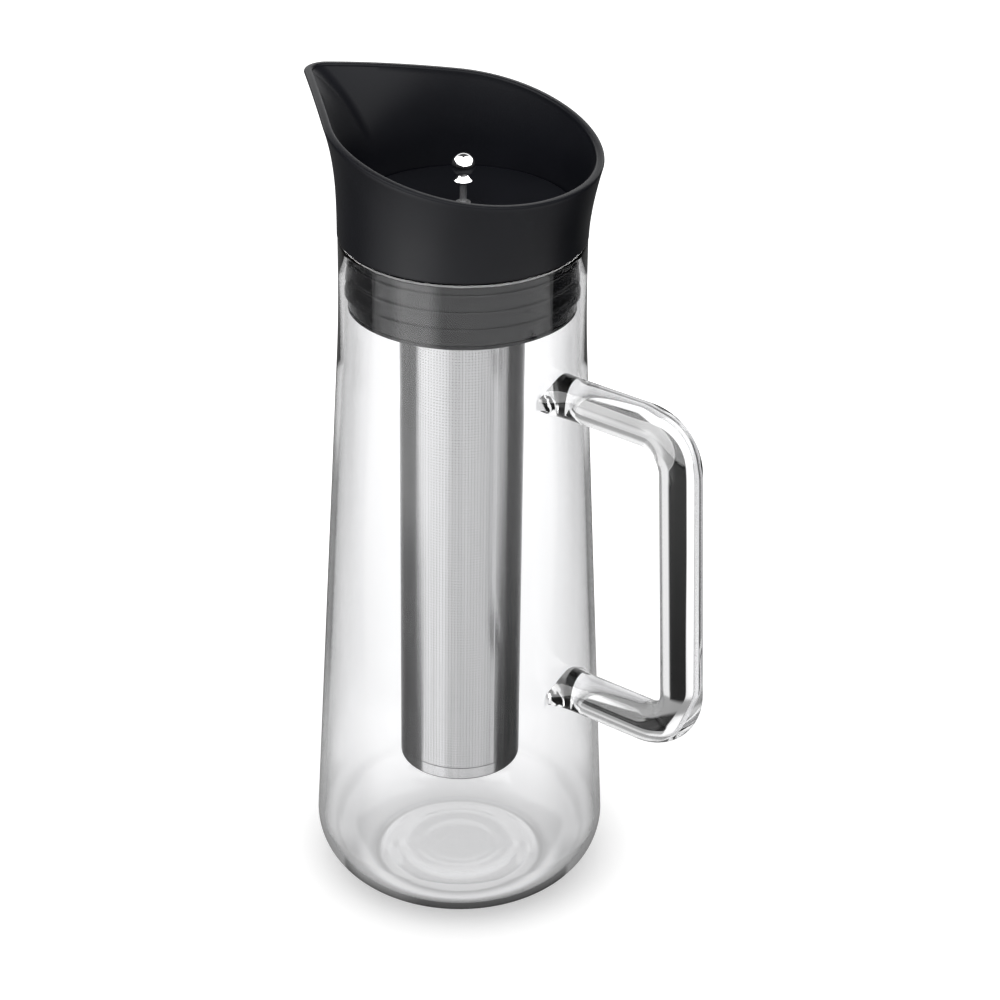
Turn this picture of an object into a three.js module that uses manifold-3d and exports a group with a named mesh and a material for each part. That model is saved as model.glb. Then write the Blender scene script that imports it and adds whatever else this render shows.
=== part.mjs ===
import * as THREE from 'three';
import { mergeVertices } from 'three/addons/utils/BufferGeometryUtils.js';
import Module from 'manifold-3d';

// A cold brew coffee maker: a glass carafe, a pour lid with a hinged flap, and a hanging steel filter.
// Millimetres, +Z up. The origin is the middle of the plane that the base rests on.
// The handle is along +X and the pouring spout along -X.

const wasm = await Module();
wasm.setup();

// Clearances
const seatGap = 0.3;
const cutOverrun = 1;

// Glass carafe
const glassHeight = 254.7;
const bodyRadius = 53.2;
const baseCornerRadius = 21.4;
const neckRadius = 42.8;
const neckLength = 29.7;
const shoulderBlend = 16;
const bodyWall = 2.2;
const neckWall = 1.8;
const baseThickness = 4.5;
const grooveRadius = 29.4;
const grooveWidth = 4.8;
const grooveDepth = 0.8;
const grooveSlope = 1;

// Glass handle
const handleRodRadius = 7.4;
const handleReach = 49;
const handleShoulderDrop = 18;
const handleLowerHeight = 92;
const handleBendRadius = 15;
const rootFlare = 3.6;
const rootFlareLength = 9;

// Lid insert, which plugs the neck
const plugDepth = 25;
const lipProjection = 1.1;
const sealThickness = 1.1;
const insertWall = 2;
const beadHeight = 1.2;
const flangeThickness = 2.2;
const lipPitch = 6.2;
const lipHeight = 1.7;
const lipRise = 0.5;
const topLipDrop = 5.4;
const lipCount = 3;
const spokeWidth = 3;
const spokeHeight = 5;
const spokeCount = 4;

// Pour funnel
const skirtOverhang = 0.2;
const skirtWall = 2.4;
const floorWall = 4.4;
const ledgeHeight = 5.2;
const ledgeThickness = 1.9;
const ledgeReach = 2.4;
const funnelGasketThickness = 1;
const rimRadius = 47.5;
const spoutReach = 68.1;
const spoutTipRadius = 7.9;
const rimWidth = 3;
const rimRound = 0.8;
const rimHandleHeight = 27.4;
const rimSpoutHeight = 44.8;
const rimCurvePower = 1.2;
const outerFlarePower = { handle: 1.5, spout: 3.2 };
const innerFlarePower = { handle: 1.4, spout: 2.8 };

// Flap and its hinge
const flapClearance = 0.4;
const flapThickness = 2.2;
const flapBossRadius = 6;
const flapBossSlope = 2;
const flapBossHeight = 1.4;
const flapGasketThickness = 1.2;
const flapGasketInset = 0.8;
const hingeInset = 2.2;
const hingeRadius = 2;
const hingePinRadius = 1;
const knuckleWidth = 12;
const lugWidth = 3.2;
const lugRoot = 1.6;

// Knob
const ballRadius = 4.95;
const ballHeight = 13.4;
const stemRadius = 1.15;
const stemSocketDepth = 3.2;
const washerRadius = 2.6;
const washerThickness = 0.6;
const nutRadius = 3.1;
const nutThickness = 2.2;
const stemEnd = 0.5;

// Filter
const filterRadius = 21.9;
const filterFloorGap = 41.9;
const filterEntry = 9.3;
const filterSheet = 0.5;
const bandHeight = 12.7;
const capHeight = 5;
const capCorner = 1;
const capThickness = 0.6;
const collarWall = 1.8;
const collarFlangeWidth = 2.8;
const collarFlangeThickness = 1.4;
const socketWall = 2.4;
const socketHeight = 8.4;
const oRingRadius = 0.65;
const oRingProud = 0.4;
const oRingRise = 4.2;

// Steps of the round shapes
const roundSteps = 36;
const cornerSteps = 6;
const rodSides = 14;

// Heights and radii that follow from the sizes above
const shoulderHeight = glassHeight - neckLength;
const handleUpperHeight = shoulderHeight - handleShoulderDrop;
const neckInner = neckRadius - neckWall;
const lipRadius = neckInner - seatGap;
const sleeveRadius = lipRadius - lipProjection;
const sealInner = sleeveRadius - sealThickness;
const insertOuter = sealInner - seatGap;
const insertInner = insertOuter - insertWall;
const insertBottom = glassHeight - plugDepth;
const beadTop = insertBottom + beadHeight;
const skirtBottom = glassHeight + seatGap;
const skirtRadius = neckRadius + skirtOverhang;
const skirtInner = skirtRadius - skirtWall;
const floorRadius = skirtRadius - floorWall;
const ledgeTop = skirtBottom + ledgeHeight;
const ledgeBottom = ledgeTop - ledgeThickness;
const mouthRadius = insertInner - ledgeReach;
const flangeTop = ledgeBottom - funnelGasketThickness - seatGap * 2;
const flangeBottom = flangeTop - flangeThickness;
const flangeRadius = skirtInner - seatGap;
const flapRadius = floorRadius - flapClearance;
const flapGasketBottom = ledgeTop + seatGap;
const flapGasketTop = flapGasketBottom + flapGasketThickness;
const flapBottom = flapGasketTop + seatGap;
const flapTop = flapBottom + flapThickness;
const bossTop = flapTop + flapBossHeight;
const hingeX = flapRadius - hingeInset;
const hingeZ = flapTop + hingeRadius + seatGap;
const ballZ = bossTop + ballHeight;
const collarInner = filterRadius + seatGap;
const collarOuter = collarInner + collarWall;
const socketInner = collarOuter + oRingProud + seatGap;
const socketOuter = socketInner + socketWall;
const collarFlangeTop = insertBottom + collarFlangeThickness;
const socketBottom = collarFlangeTop + seatGap;
const socketTop = socketBottom + socketHeight;
const filterTop = insertBottom + filterEntry;
const filterBottom = baseThickness + filterFloorGap;
const bandBottom = filterTop - bandHeight;
const capTop = filterBottom + capHeight;

// Materials
const materials = {
  glass: new THREE.MeshStandardMaterial({ color: 0xdfe8e8, roughness: 0.03, metalness: 0, transparent: true, opacity: 0.35 }),
  blackPlastic: new THREE.MeshStandardMaterial({ color: 0x1b1b1d, roughness: 0.45, metalness: 0 }),
  silicone: new THREE.MeshStandardMaterial({ color: 0x232427, roughness: 0.6, metalness: 0 }),
  steel: new THREE.MeshStandardMaterial({ color: 0xb8babc, roughness: 0.32, metalness: 1 }),
  polishedSteel: new THREE.MeshStandardMaterial({ color: 0xdadcde, roughness: 0.06, metalness: 1 }),
};

// Meshes and solids

function signedVolume(geometry) {
  const position = geometry.getAttribute('position');
  const index = geometry.getIndex();
  const corners = [new THREE.Vector3(), new THREE.Vector3(), new THREE.Vector3()];
  let volume = 0;
  for (let i = 0; i < index.count; i += 3) {
    corners.forEach((corner, k) => corner.fromBufferAttribute(position, index.getX(i + k)));
    volume += corners[0].dot(corners[1].clone().cross(corners[2])) / 6;
  }
  return volume;
}

// Shared corners merged, triangles without area dropped, and faces turned outwards.
function closedBody(geometry) {
  let body = geometry.clone();
  body.deleteAttribute('normal');
  body.deleteAttribute('uv');
  body = mergeVertices(body);
  const index = Array.from(body.getIndex().array);
  const kept = [];
  for (let i = 0; i < index.length; i += 3) {
    const [a, b, c] = index.slice(i, i + 3);
    if (a !== b && b !== c && c !== a) kept.push(a, b, c);
  }
  body.setIndex(kept);
  if (signedVolume(body) < 0) {
    for (let i = 0; i < kept.length; i += 3) [kept[i + 1], kept[i + 2]] = [kept[i + 2], kept[i + 1]];
    body.setIndex(kept);
  }
  return body;
}

function toSolid(geometry) {
  const body = closedBody(geometry);
  const mesh = new wasm.Mesh({
    numProp: 3,
    vertProperties: new Float32Array(body.getAttribute('position').array),
    triVerts: new Uint32Array(body.getIndex().array),
  });
  return new wasm.Manifold(mesh);
}

function fromSolid(solid) {
  const mesh = solid.getMesh();
  const geometry = new THREE.BufferGeometry();
  geometry.setAttribute('position', new THREE.BufferAttribute(new Float32Array(mesh.vertProperties), mesh.numProp));
  geometry.setIndex(new THREE.BufferAttribute(new Uint32Array(mesh.triVerts), 1));
  return geometry;
}

// A body turned about the Z axis from its outline of [radius, height] points.
// An outline that leaves the axis free closes on itself.
function turned(outline, steps = roundSteps) {
  const points = outline.map(([radius, height]) => new THREE.Vector2(radius, height));
  const first = points[0];
  const last = points[points.length - 1];
  if (first.x > 0 || last.x > 0) points.push(first.clone());
  return closedBody(new THREE.LatheGeometry(points, steps).rotateX(Math.PI / 2));
}

// A quarter of an ellipse between two directions, as outline points.
function cornerArc(centreX, centreZ, radiusX, radiusZ, startAngle, endAngle, steps = cornerSteps) {
  const points = [];
  for (let i = 0; i <= steps; i += 1) {
    const angle = THREE.MathUtils.lerp(startAngle, endAngle, i / steps);
    points.push([centreX + radiusX * Math.cos(angle), centreZ + radiusZ * Math.sin(angle)]);
  }
  return points;
}

function tube(innerRadius, outerRadius, bottom, top, steps = roundSteps) {
  return turned([[innerRadius, bottom], [outerRadius, bottom], [outerRadius, top], [innerRadius, top]], steps);
}

function block(lowX, highX, width, lowZ, highZ) {
  const box = new THREE.BoxGeometry(highX - lowX, width, highZ - lowZ);
  return box.translate((lowX + highX) / 2, 0, (lowZ + highZ) / 2);
}

// A round bar along Y at the hinge.
function hingeBar(radius, width, middleY = 0) {
  return new THREE.CylinderGeometry(radius, radius, width, rodSides * 2).translate(hingeX, middleY, hingeZ);
}

const assembly = new THREE.Group();
const carafe = new THREE.Group();
const lid = new THREE.Group();
const flap = new THREE.Group();
const filter = new THREE.Group();
assembly.add(carafe, lid);
lid.add(flap, filter);

function addPiece(parent, name, geometry, material) {
  const mesh = new THREE.Mesh(geometry, material);
  mesh.name = name;
  parent.add(mesh);
}

// Glass carafe

function wallRadius(height) {
  const rise_share = (height - baseCornerRadius) / (shoulderHeight - baseCornerRadius);
  return THREE.MathUtils.lerp(bodyRadius, neckRadius, Math.min(rise_share, 1));
}

// The long side from the base corner to the neck, with the shoulder blended, moved out by an offset.
function glassSide(offset, neckOffset) {
  const start = new THREE.Vector2(wallRadius(shoulderHeight - shoulderBlend) + offset, shoulderHeight - shoulderBlend);
  const middle = new THREE.Vector2(neckRadius + neckOffset, shoulderHeight);
  const end = new THREE.Vector2(neckRadius + neckOffset, shoulderHeight + shoulderBlend);
  const blend = new THREE.QuadraticBezierCurve(start, middle, end).getPoints(cornerSteps - 2);
  return [[bodyRadius + offset, baseCornerRadius], ...blend.map((point) => [point.x, point.y])];
}

function carafeBody() {
  const baseFlat = bodyRadius - baseCornerRadius;
  const grooveInner = grooveRadius - grooveWidth;
  const rimHalf = neckWall / 2;
  const outside = [
    [0, 0],
    [grooveInner, 0],
    [grooveInner + grooveSlope, grooveDepth],
    [grooveRadius - grooveSlope, grooveDepth],
    [grooveRadius, 0],
    ...cornerArc(baseFlat, baseCornerRadius, baseCornerRadius, baseCornerRadius, -Math.PI / 2, 0, cornerSteps + 2),
    ...glassSide(0, 0).slice(1),
  ];
  const rim = cornerArc(neckRadius - rimHalf, glassHeight - rimHalf, rimHalf, rimHalf, 0, Math.PI, cornerSteps - 2);
  const innerCorner = cornerArc(baseFlat, baseCornerRadius, baseCornerRadius - bodyWall,
    baseCornerRadius - baseThickness, -Math.PI / 2, 0, cornerSteps + 2);
  const inside = [...glassSide(-bodyWall, -neckWall).slice(1).reverse(), ...innerCorner.reverse(), [0, baseThickness]];
  return turned([...outside, ...rim, ...inside]);
}

// Directions and corners of the handle's centre line, in the XZ plane.
function handleLine() {
  const root = bodyRadius - neckRadius;
  const corners = [
    new THREE.Vector2(wallRadius(handleUpperHeight) - root, handleUpperHeight),
    new THREE.Vector2(wallRadius(handleUpperHeight) + handleReach, handleUpperHeight),
    new THREE.Vector2(wallRadius(handleLowerHeight) + handleReach, handleLowerHeight),
    new THREE.Vector2(wallRadius(handleLowerHeight) - root, handleLowerHeight),
  ];
  const line = [{ point: corners[0], along: corners[1].clone().sub(corners[0]).normalize() }];
  for (let i = 1; i < corners.length - 1; i += 1) {
    const before = corners[i].clone().sub(corners[i - 1]).normalize();
    const after = corners[i + 1].clone().sub(corners[i]).normalize();
    const turn = before.angleTo(after);
    const setback = handleBendRadius * Math.tan(turn / 2);
    const start = corners[i].clone().addScaledVector(before, -setback);
    const inward = new THREE.Vector2(before.y, -before.x);
    const centre = start.clone().addScaledVector(inward, handleBendRadius);
    for (let k = 0; k <= cornerSteps + 2; k += 1) {
      const angle = (turn * k) / (cornerSteps + 2);
      const spoke = start.clone().sub(centre).rotateAround(new THREE.Vector2(), -angle);
      line.push({ point: centre.clone().add(spoke), along: before.clone().rotateAround(new THREE.Vector2(), -angle) });
    }
  }
  const last = corners.length - 1;
  line.push({ point: corners[last], along: corners[last].clone().sub(corners[last - 1]).normalize() });
  return line;
}

// Extra stations on the two straight arms, where the rod widens into its root on the wall.
function handleStations() {
  const line = handleLine();
  const first = line[0];
  const final = line[line.length - 1];
  const stations = [];
  for (let i = 0; i <= cornerSteps; i += 1) {
    const step_share = i / cornerSteps;
    const spread = rootFlare * (1 - step_share) ** 2;
    const upper = new THREE.Vector2(wallRadius(first.point.y) + rootFlareLength * step_share, first.point.y);
    const lower = new THREE.Vector2(wallRadius(final.point.y) + rootFlareLength * step_share, final.point.y);
    stations.push({ upper: { point: upper, along: first.along, radius: handleRodRadius + spread },
      lower: { point: lower, along: final.along, radius: handleRodRadius + spread } });
  }
  const widest = handleRodRadius + rootFlare;
  return [
    { ...first, radius: widest },
    ...stations.map((station) => station.upper),
    ...line.slice(1, -1).map((station) => ({ ...station, radius: handleRodRadius })),
    ...stations.map((station) => station.lower).reverse(),
    { ...final, radius: widest },
  ];
}

function sweptRod(stations) {
  const vertices = [];
  const index = [];
  stations.forEach(({ point, along, radius }) => {
    for (let k = 0; k < rodSides; k += 1) {
      const angle = (2 * Math.PI * k) / rodSides;
      const aside = radius * Math.cos(angle);
      vertices.push(point.x - along.y * aside, radius * Math.sin(angle), point.y + along.x * aside);
    }
  });
  for (let i = 0; i < stations.length - 1; i += 1) {
    for (let k = 0; k < rodSides; k += 1) {
      const next = (k + 1) % rodSides;
      const a = i * rodSides + k;
      const b = i * rodSides + next;
      index.push(a, b, a + rodSides, b, b + rodSides, a + rodSides);
    }
  }
  const last = (stations.length - 1) * rodSides;
  for (let k = 1; k < rodSides - 1; k += 1) {
    index.push(0, k + 1, k);
    index.push(last, last + k, last + k + 1);
  }
  const geometry = new THREE.BufferGeometry();
  geometry.setAttribute('position', new THREE.Float32BufferAttribute(vertices, 3));
  geometry.setIndex(index);
  return geometry;
}

function carafeHandle() {
  const side = glassSide(seatGap, seatGap);
  const neckFace = neckRadius + seatGap;
  const wall = turned([[0, baseCornerRadius], ...side, [neckFace, glassHeight], [0, glassHeight]]);
  return fromSolid(toSolid(sweptRod(handleStations())).subtract(toSolid(wall)));
}

addPiece(carafe, 'carafe_body', carafeBody(), materials.glass);
addPiece(carafe, 'carafe_handle', carafeHandle(), materials.glass);

// Pour funnel

// Half of the drop-shaped rim, from the handle side round to the spout's tip.
function rimHalfOutline(inset) {
  const tipCentre = spoutReach - spoutTipRadius;
  const open = Math.PI - Math.acos((rimRadius - spoutTipRadius) / tipCentre);
  const roundCount = Math.round(roundSteps / 3) + 1;
  const points = [];
  for (let i = 0; i <= roundCount; i += 1) {
    const angle = (open * i) / roundCount;
    points.push(new THREE.Vector2(Math.cos(angle), Math.sin(angle)).multiplyScalar(rimRadius - inset));
  }
  const flankStart = points[points.length - 1];
  const tipArc = [];
  for (let i = 0; i <= cornerSteps / 2; i += 1) {
    const angle = THREE.MathUtils.lerp(open, Math.PI, (2 * i) / cornerSteps);
    const arm = new THREE.Vector2(Math.cos(angle), Math.sin(angle)).multiplyScalar(spoutTipRadius - inset);
    tipArc.push(arm.add(new THREE.Vector2(-tipCentre, 0)));
  }
  for (let i = 1; i < cornerSteps; i += 1) points.push(flankStart.clone().lerp(tipArc[0], i / cornerSteps));
  return [...points, ...tipArc];
}

function rimOutline(inset) {
  const half = rimHalfOutline(inset);
  const mirrored = half.slice(1, -1).reverse().map((point) => new THREE.Vector2(point.x, -point.y));
  return [...half, ...mirrored];
}

function rimHeight(x) {
  const along_share = THREE.MathUtils.clamp((rimRadius - x) / (rimRadius + spoutReach), 0, 1);
  const rise_share = Math.sin((Math.PI / 2) * along_share ** rimCurvePower);
  return skirtBottom + THREE.MathUtils.lerp(rimHandleHeight, rimSpoutHeight, rise_share);
}

// One wall column, from a circle low down to a point on the rim above.
function funnelColumn(circleRadius, low, rimPoint, high, power, steps) {
  const heading = Math.atan2(rimPoint.y, rimPoint.x);
  const foot = new THREE.Vector2(Math.cos(heading), Math.sin(heading)).multiplyScalar(circleRadius);
  const spout_share = (1 - Math.cos(heading)) / 2;
  const bend = THREE.MathUtils.lerp(power.handle, power.spout, spout_share);
  const column = [];
  for (let i = 0; i <= steps; i += 1) {
    const up_share = i / steps;
    const place = foot.clone().lerp(rimPoint, up_share ** bend);
    column.push([place.x, place.y, THREE.MathUtils.lerp(low, high, up_share)]);
  }
  return column;
}

function funnelShell() {
  const outer = rimOutline(0);
  const inner = rimOutline(rimWidth);
  const columns = outer.map((rimPoint, i) => {
    const top = rimHeight(rimPoint.x);
    const round_share = rimRound / rimWidth;
    const topOuter = rimPoint.clone().lerp(inner[i], round_share);
    const topInner = rimPoint.clone().lerp(inner[i], 1 - round_share);
    const heading = Math.atan2(rimPoint.y, rimPoint.x);
    const ring = (radius, height) => [radius * Math.cos(heading), radius * Math.sin(heading), height];
    return [
      ...funnelColumn(skirtRadius, skirtBottom, rimPoint, top - rimRound, outerFlarePower, cornerSteps + 3),
      [topOuter.x, topOuter.y, top],
      [topInner.x, topInner.y, top],
      ...funnelColumn(floorRadius, ledgeTop, inner[i], top - rimRound, innerFlarePower, cornerSteps + 2).reverse(),
      ring(mouthRadius, ledgeTop),
      ring(mouthRadius, ledgeBottom),
      ring(skirtInner, ledgeBottom),
      ring(skirtInner, skirtBottom),
    ];
  });
  const rows = columns[0].length;
  const index = [];
  columns.forEach((column, i) => {
    const next = (i + 1) % columns.length;
    for (let k = 0; k < rows; k += 1) {
      const above = (k + 1) % rows;
      const [a, b, c, d] = [i * rows + k, next * rows + k, next * rows + above, i * rows + above];
      index.push(a, b, c, a, c, d);
    }
  });
  const geometry = new THREE.BufferGeometry();
  geometry.setAttribute('position', new THREE.Float32BufferAttribute(columns.flat(2), 3));
  geometry.setIndex(index);
  return geometry;
}

// Two lugs on the handle side of the funnel carry the hinge pin.
function pourFunnel() {
  let funnel = toSolid(funnelShell());
  const lugMiddle = knuckleWidth / 2 + seatGap + lugWidth / 2;
  [-lugMiddle, lugMiddle].forEach((middleY) => {
    const arm = block(hingeX, floorRadius + lugRoot, lugWidth, hingeZ - hingeRadius, hingeZ + hingeRadius);
    funnel = funnel.add(toSolid(arm.translate(0, middleY, 0))).add(toSolid(hingeBar(hingeRadius, lugWidth, middleY)));
  });
  const boreLength = knuckleWidth + (lugWidth + seatGap + cutOverrun) * 2;
  return fromSolid(funnel.subtract(toSolid(hingeBar(hingePinRadius + seatGap, boreLength))));
}

addPiece(lid, 'pour_funnel', pourFunnel(), materials.blackPlastic);

// Lid insert with the socket for the filter

function lidInsert() {
  const shell = turned([
    [insertInner, insertBottom],
    [sleeveRadius, insertBottom],
    [sleeveRadius, beadTop],
    [insertOuter, beadTop],
    [insertOuter, flangeBottom],
    [flangeRadius, flangeBottom],
    [flangeRadius, flangeTop],
    [insertInner, flangeTop],
  ]);
  let insert = toSolid(shell).add(toSolid(tube(socketInner, socketOuter, socketBottom, socketTop)));
  const spokeStart = socketOuter - socketWall / 2;
  const spokeFinish = insertInner + insertWall / 2;
  for (let i = 0; i < spokeCount; i += 1) {
    const spoke = block(spokeStart, spokeFinish, spokeWidth, socketBottom, socketBottom + spokeHeight);
    insert = insert.add(toSolid(spoke.rotateZ((2 * Math.PI * (i + 1 / 2)) / spokeCount)));
  }
  return fromSolid(insert);
}

// A silicone sleeve with raised sealing lips.
function neckSeal() {
  const bottom = beadTop + seatGap;
  const top = Math.min(flangeBottom - seatGap, glassHeight);
  const outline = [[sealInner, bottom], [sleeveRadius, bottom]];
  for (let i = lipCount - 1; i >= 0; i -= 1) {
    const middle = glassHeight - topLipDrop - lipPitch * i;
    outline.push([sleeveRadius, middle - lipHeight / 2], [lipRadius, middle - lipHeight / 2 + lipRise]);
    outline.push([lipRadius, middle + lipHeight / 2 - lipRise], [sleeveRadius, middle + lipHeight / 2]);
  }
  outline.push([sleeveRadius, top], [sealInner, top]);
  return turned(outline);
}

addPiece(lid, 'lid_insert', lidInsert(), materials.blackPlastic);
addPiece(lid, 'neck_seal', neckSeal(), materials.silicone);
addPiece(lid, 'funnel_gasket', tube(insertInner + seatGap, insertOuter, flangeTop + seatGap, ledgeBottom - seatGap),
  materials.silicone);

// Flap with its gasket, hinge pin and knob

function flapDisc() {
  const bore = stemRadius + seatGap;
  const disc = turned([
    [bore, flapBottom],
    [flapRadius, flapBottom],
    [flapRadius, flapTop],
    [flapBossRadius + flapBossSlope, flapTop],
    [flapBossRadius, bossTop],
    [bore, bossTop],
  ]);
  const web = block(hingeX - hingeRadius, hingeX + hingeRadius, knuckleWidth, flapTop - flapThickness / 2, hingeZ);
  const knuckle = toSolid(web).add(toSolid(hingeBar(hingeRadius, knuckleWidth)));
  const pinBore = toSolid(hingeBar(hingePinRadius + seatGap, knuckleWidth + cutOverrun * 2));
  return fromSolid(toSolid(disc).add(knuckle).subtract(pinBore));
}

function knobBall() {
  const ball = new THREE.SphereGeometry(ballRadius, roundSteps * 2 / 3, roundSteps / 3).rotateX(Math.PI / 2);
  const bore = new THREE.CylinderGeometry(stemRadius + seatGap, stemRadius + seatGap, ballRadius * 2, rodSides);
  const boreTop = ballZ - ballRadius + stemSocketDepth + seatGap;
  bore.rotateX(Math.PI / 2).translate(0, 0, boreTop - ballRadius);
  return fromSolid(toSolid(ball.translate(0, 0, ballZ)).subtract(toSolid(bore)));
}

function knobStem() {
  const bottom = flapBottom - seatGap - nutThickness - stemEnd;
  const top = ballZ - ballRadius + stemSocketDepth;
  const rod = new THREE.CylinderGeometry(stemRadius, stemRadius, top - bottom, rodSides);
  return closedBody(rod.rotateX(Math.PI / 2).translate(0, 0, (top + bottom) / 2));
}

function knobNut() {
  const top = flapBottom - seatGap;
  const hexagon = new THREE.CylinderGeometry(nutRadius, nutRadius, nutThickness, 6).rotateX(Math.PI / 2);
  const bore = new THREE.CylinderGeometry(stemRadius + seatGap, stemRadius + seatGap, nutThickness * 2, rodSides);
  hexagon.translate(0, 0, top - nutThickness / 2);
  bore.rotateX(Math.PI / 2).translate(0, 0, top - nutThickness / 2);
  return fromSolid(toSolid(hexagon).subtract(toSolid(bore)));
}

const washerBottom = bossTop + seatGap;
const pinLength = knuckleWidth + (lugWidth + seatGap) * 2;
addPiece(flap, 'flap_disc', flapDisc(), materials.blackPlastic);
addPiece(flap, 'flap_gasket', tube(mouthRadius + flapGasketInset, flapRadius - flapGasketInset,
  flapGasketBottom, flapGasketTop), materials.silicone);
addPiece(flap, 'knob_ball', knobBall(), materials.polishedSteel);
addPiece(flap, 'knob_stem', knobStem(), materials.polishedSteel);
addPiece(flap, 'knob_washer', tube(stemRadius + seatGap, washerRadius, washerBottom, washerBottom + washerThickness,
  rodSides), materials.polishedSteel);
addPiece(flap, 'knob_nut', knobNut(), materials.steel);
addPiece(lid, 'hinge_pin', closedBody(hingeBar(hingePinRadius, pinLength)), materials.steel);

// Filter

function filterCollar() {
  const flangeReach = collarOuter + collarFlangeWidth;
  const grooveMiddle = collarFlangeTop + oRingRise;
  const grooveHalf = oRingRadius + seatGap;
  const grooveFloor = collarOuter + oRingProud - oRingRadius * 2 - seatGap;
  return turned([
    [collarInner, insertBottom],
    [flangeReach, insertBottom],
    [flangeReach, collarFlangeTop],
    [collarOuter, collarFlangeTop],
    [collarOuter, grooveMiddle - grooveHalf],
    [grooveFloor, grooveMiddle - grooveHalf],
    [grooveFloor, grooveMiddle + grooveHalf],
    [collarOuter, grooveMiddle + grooveHalf],
    [collarOuter, filterTop],
    [collarInner, filterTop],
  ]);
}

function filterRing() {
  const middle = collarOuter + oRingProud - oRingRadius;
  const section = cornerArc(middle, collarFlangeTop + oRingRise, oRingRadius, oRingRadius, 0, 2 * Math.PI, cornerSteps);
  return turned(section.slice(0, -1));
}

function filterCap() {
  return turned([
    [0, filterBottom],
    ...cornerArc(filterRadius - capCorner, filterBottom + capCorner, capCorner, capCorner, -Math.PI / 2, 0, 3),
    [filterRadius, capTop],
    [filterRadius - capThickness, capTop],
    [filterRadius - capThickness, filterBottom + capCorner],
    [filterRadius - capCorner, filterBottom + capThickness],
    [0, filterBottom + capThickness],
  ]);
}

const sheetInner = filterRadius - filterSheet;
addPiece(filter, 'filter_collar', filterCollar(), materials.blackPlastic);
addPiece(filter, 'filter_o_ring', filterRing(), materials.silicone);
addPiece(filter, 'filter_top_band', tube(sheetInner, filterRadius, bandBottom, filterTop), materials.steel);
addPiece(filter, 'filter_tube', tube(sheetInner, filterRadius, capTop + seatGap, bandBottom - seatGap), materials.steel);
addPiece(filter, 'filter_cap', filterCap(), materials.steel);

export default assembly;
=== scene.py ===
"""A cold brew coffee maker: a glass carafe, a pour lid with a hinged flap, and a hanging steel filter.

Lengths are written in millimetres and turned into metres where a mesh is made.
The handle is along +X, the pouring spout along -X, and the base rests on Z = 0.
"""
import math

import bmesh
import bpy
import numpy as np
from mathutils import Matrix, Vector


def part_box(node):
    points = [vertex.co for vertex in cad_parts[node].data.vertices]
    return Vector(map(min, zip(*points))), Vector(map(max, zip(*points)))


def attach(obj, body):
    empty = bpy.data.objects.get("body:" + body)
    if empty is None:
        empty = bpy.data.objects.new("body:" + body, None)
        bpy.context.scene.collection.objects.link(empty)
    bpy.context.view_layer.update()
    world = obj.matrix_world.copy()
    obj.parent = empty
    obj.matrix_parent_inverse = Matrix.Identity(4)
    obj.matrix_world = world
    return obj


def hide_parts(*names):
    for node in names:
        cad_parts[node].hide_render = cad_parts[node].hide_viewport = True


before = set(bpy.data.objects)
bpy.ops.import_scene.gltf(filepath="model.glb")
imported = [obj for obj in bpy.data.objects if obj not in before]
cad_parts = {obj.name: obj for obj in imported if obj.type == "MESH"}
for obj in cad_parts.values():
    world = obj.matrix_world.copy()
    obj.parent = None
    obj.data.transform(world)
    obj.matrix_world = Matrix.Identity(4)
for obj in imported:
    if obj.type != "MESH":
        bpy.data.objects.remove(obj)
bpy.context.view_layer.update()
MM = 0.001
SHARP_ANGLE = 32


def top_of(node):
    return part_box(node)[1].z / MM


def bottom_of(node):
    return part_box(node)[0].z / MM


def reach_of(node):
    """The largest distance of a round node from the axis, in millimetres."""
    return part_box(node)[1].y / MM


# Places taken from the frame
GLASS_TOP = top_of("carafe_body")
BODY_RADIUS = reach_of("carafe_body")
SKIRT_BOTTOM = bottom_of("pour_funnel")
INSERT_BOTTOM = bottom_of("lid_insert")
INSERT_TOP = top_of("lid_insert")
FLANGE_RADIUS = reach_of("lid_insert")
SEAL_BOTTOM = bottom_of("neck_seal")
SEAL_TOP = top_of("neck_seal")
LIP_RADIUS = reach_of("neck_seal")
SPOUT_REACH = -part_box("pour_funnel")[0].x / MM
RIM_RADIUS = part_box("pour_funnel")[1].x / MM
RIM_TOP = top_of("pour_funnel")
FLAP_RADIUS = reach_of("flap_disc")
FLAP_BOTTOM = bottom_of("flap_disc")
HINGE_X = sum(corner.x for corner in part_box("hinge_pin")) / 2 / MM
HINGE_Z = sum(corner.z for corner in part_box("hinge_pin")) / 2 / MM
PIN_RADIUS = (top_of("hinge_pin") - bottom_of("hinge_pin")) / 2
PIN_LENGTH = 2 * reach_of("hinge_pin")
BALL_TOP = top_of("knob_ball")
BALL_RADIUS = reach_of("knob_ball")
FILTER_RADIUS = reach_of("filter_tube")
FILTER_TOP = top_of("filter_top_band")
FILTER_BOTTOM = bottom_of("filter_cap")
CAP_TOP = top_of("filter_cap")
COLLAR_REACH = reach_of("filter_collar")

# Clearances
SEAT_GAP = 0.3
CUT_OVERRUN = 2

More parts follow.
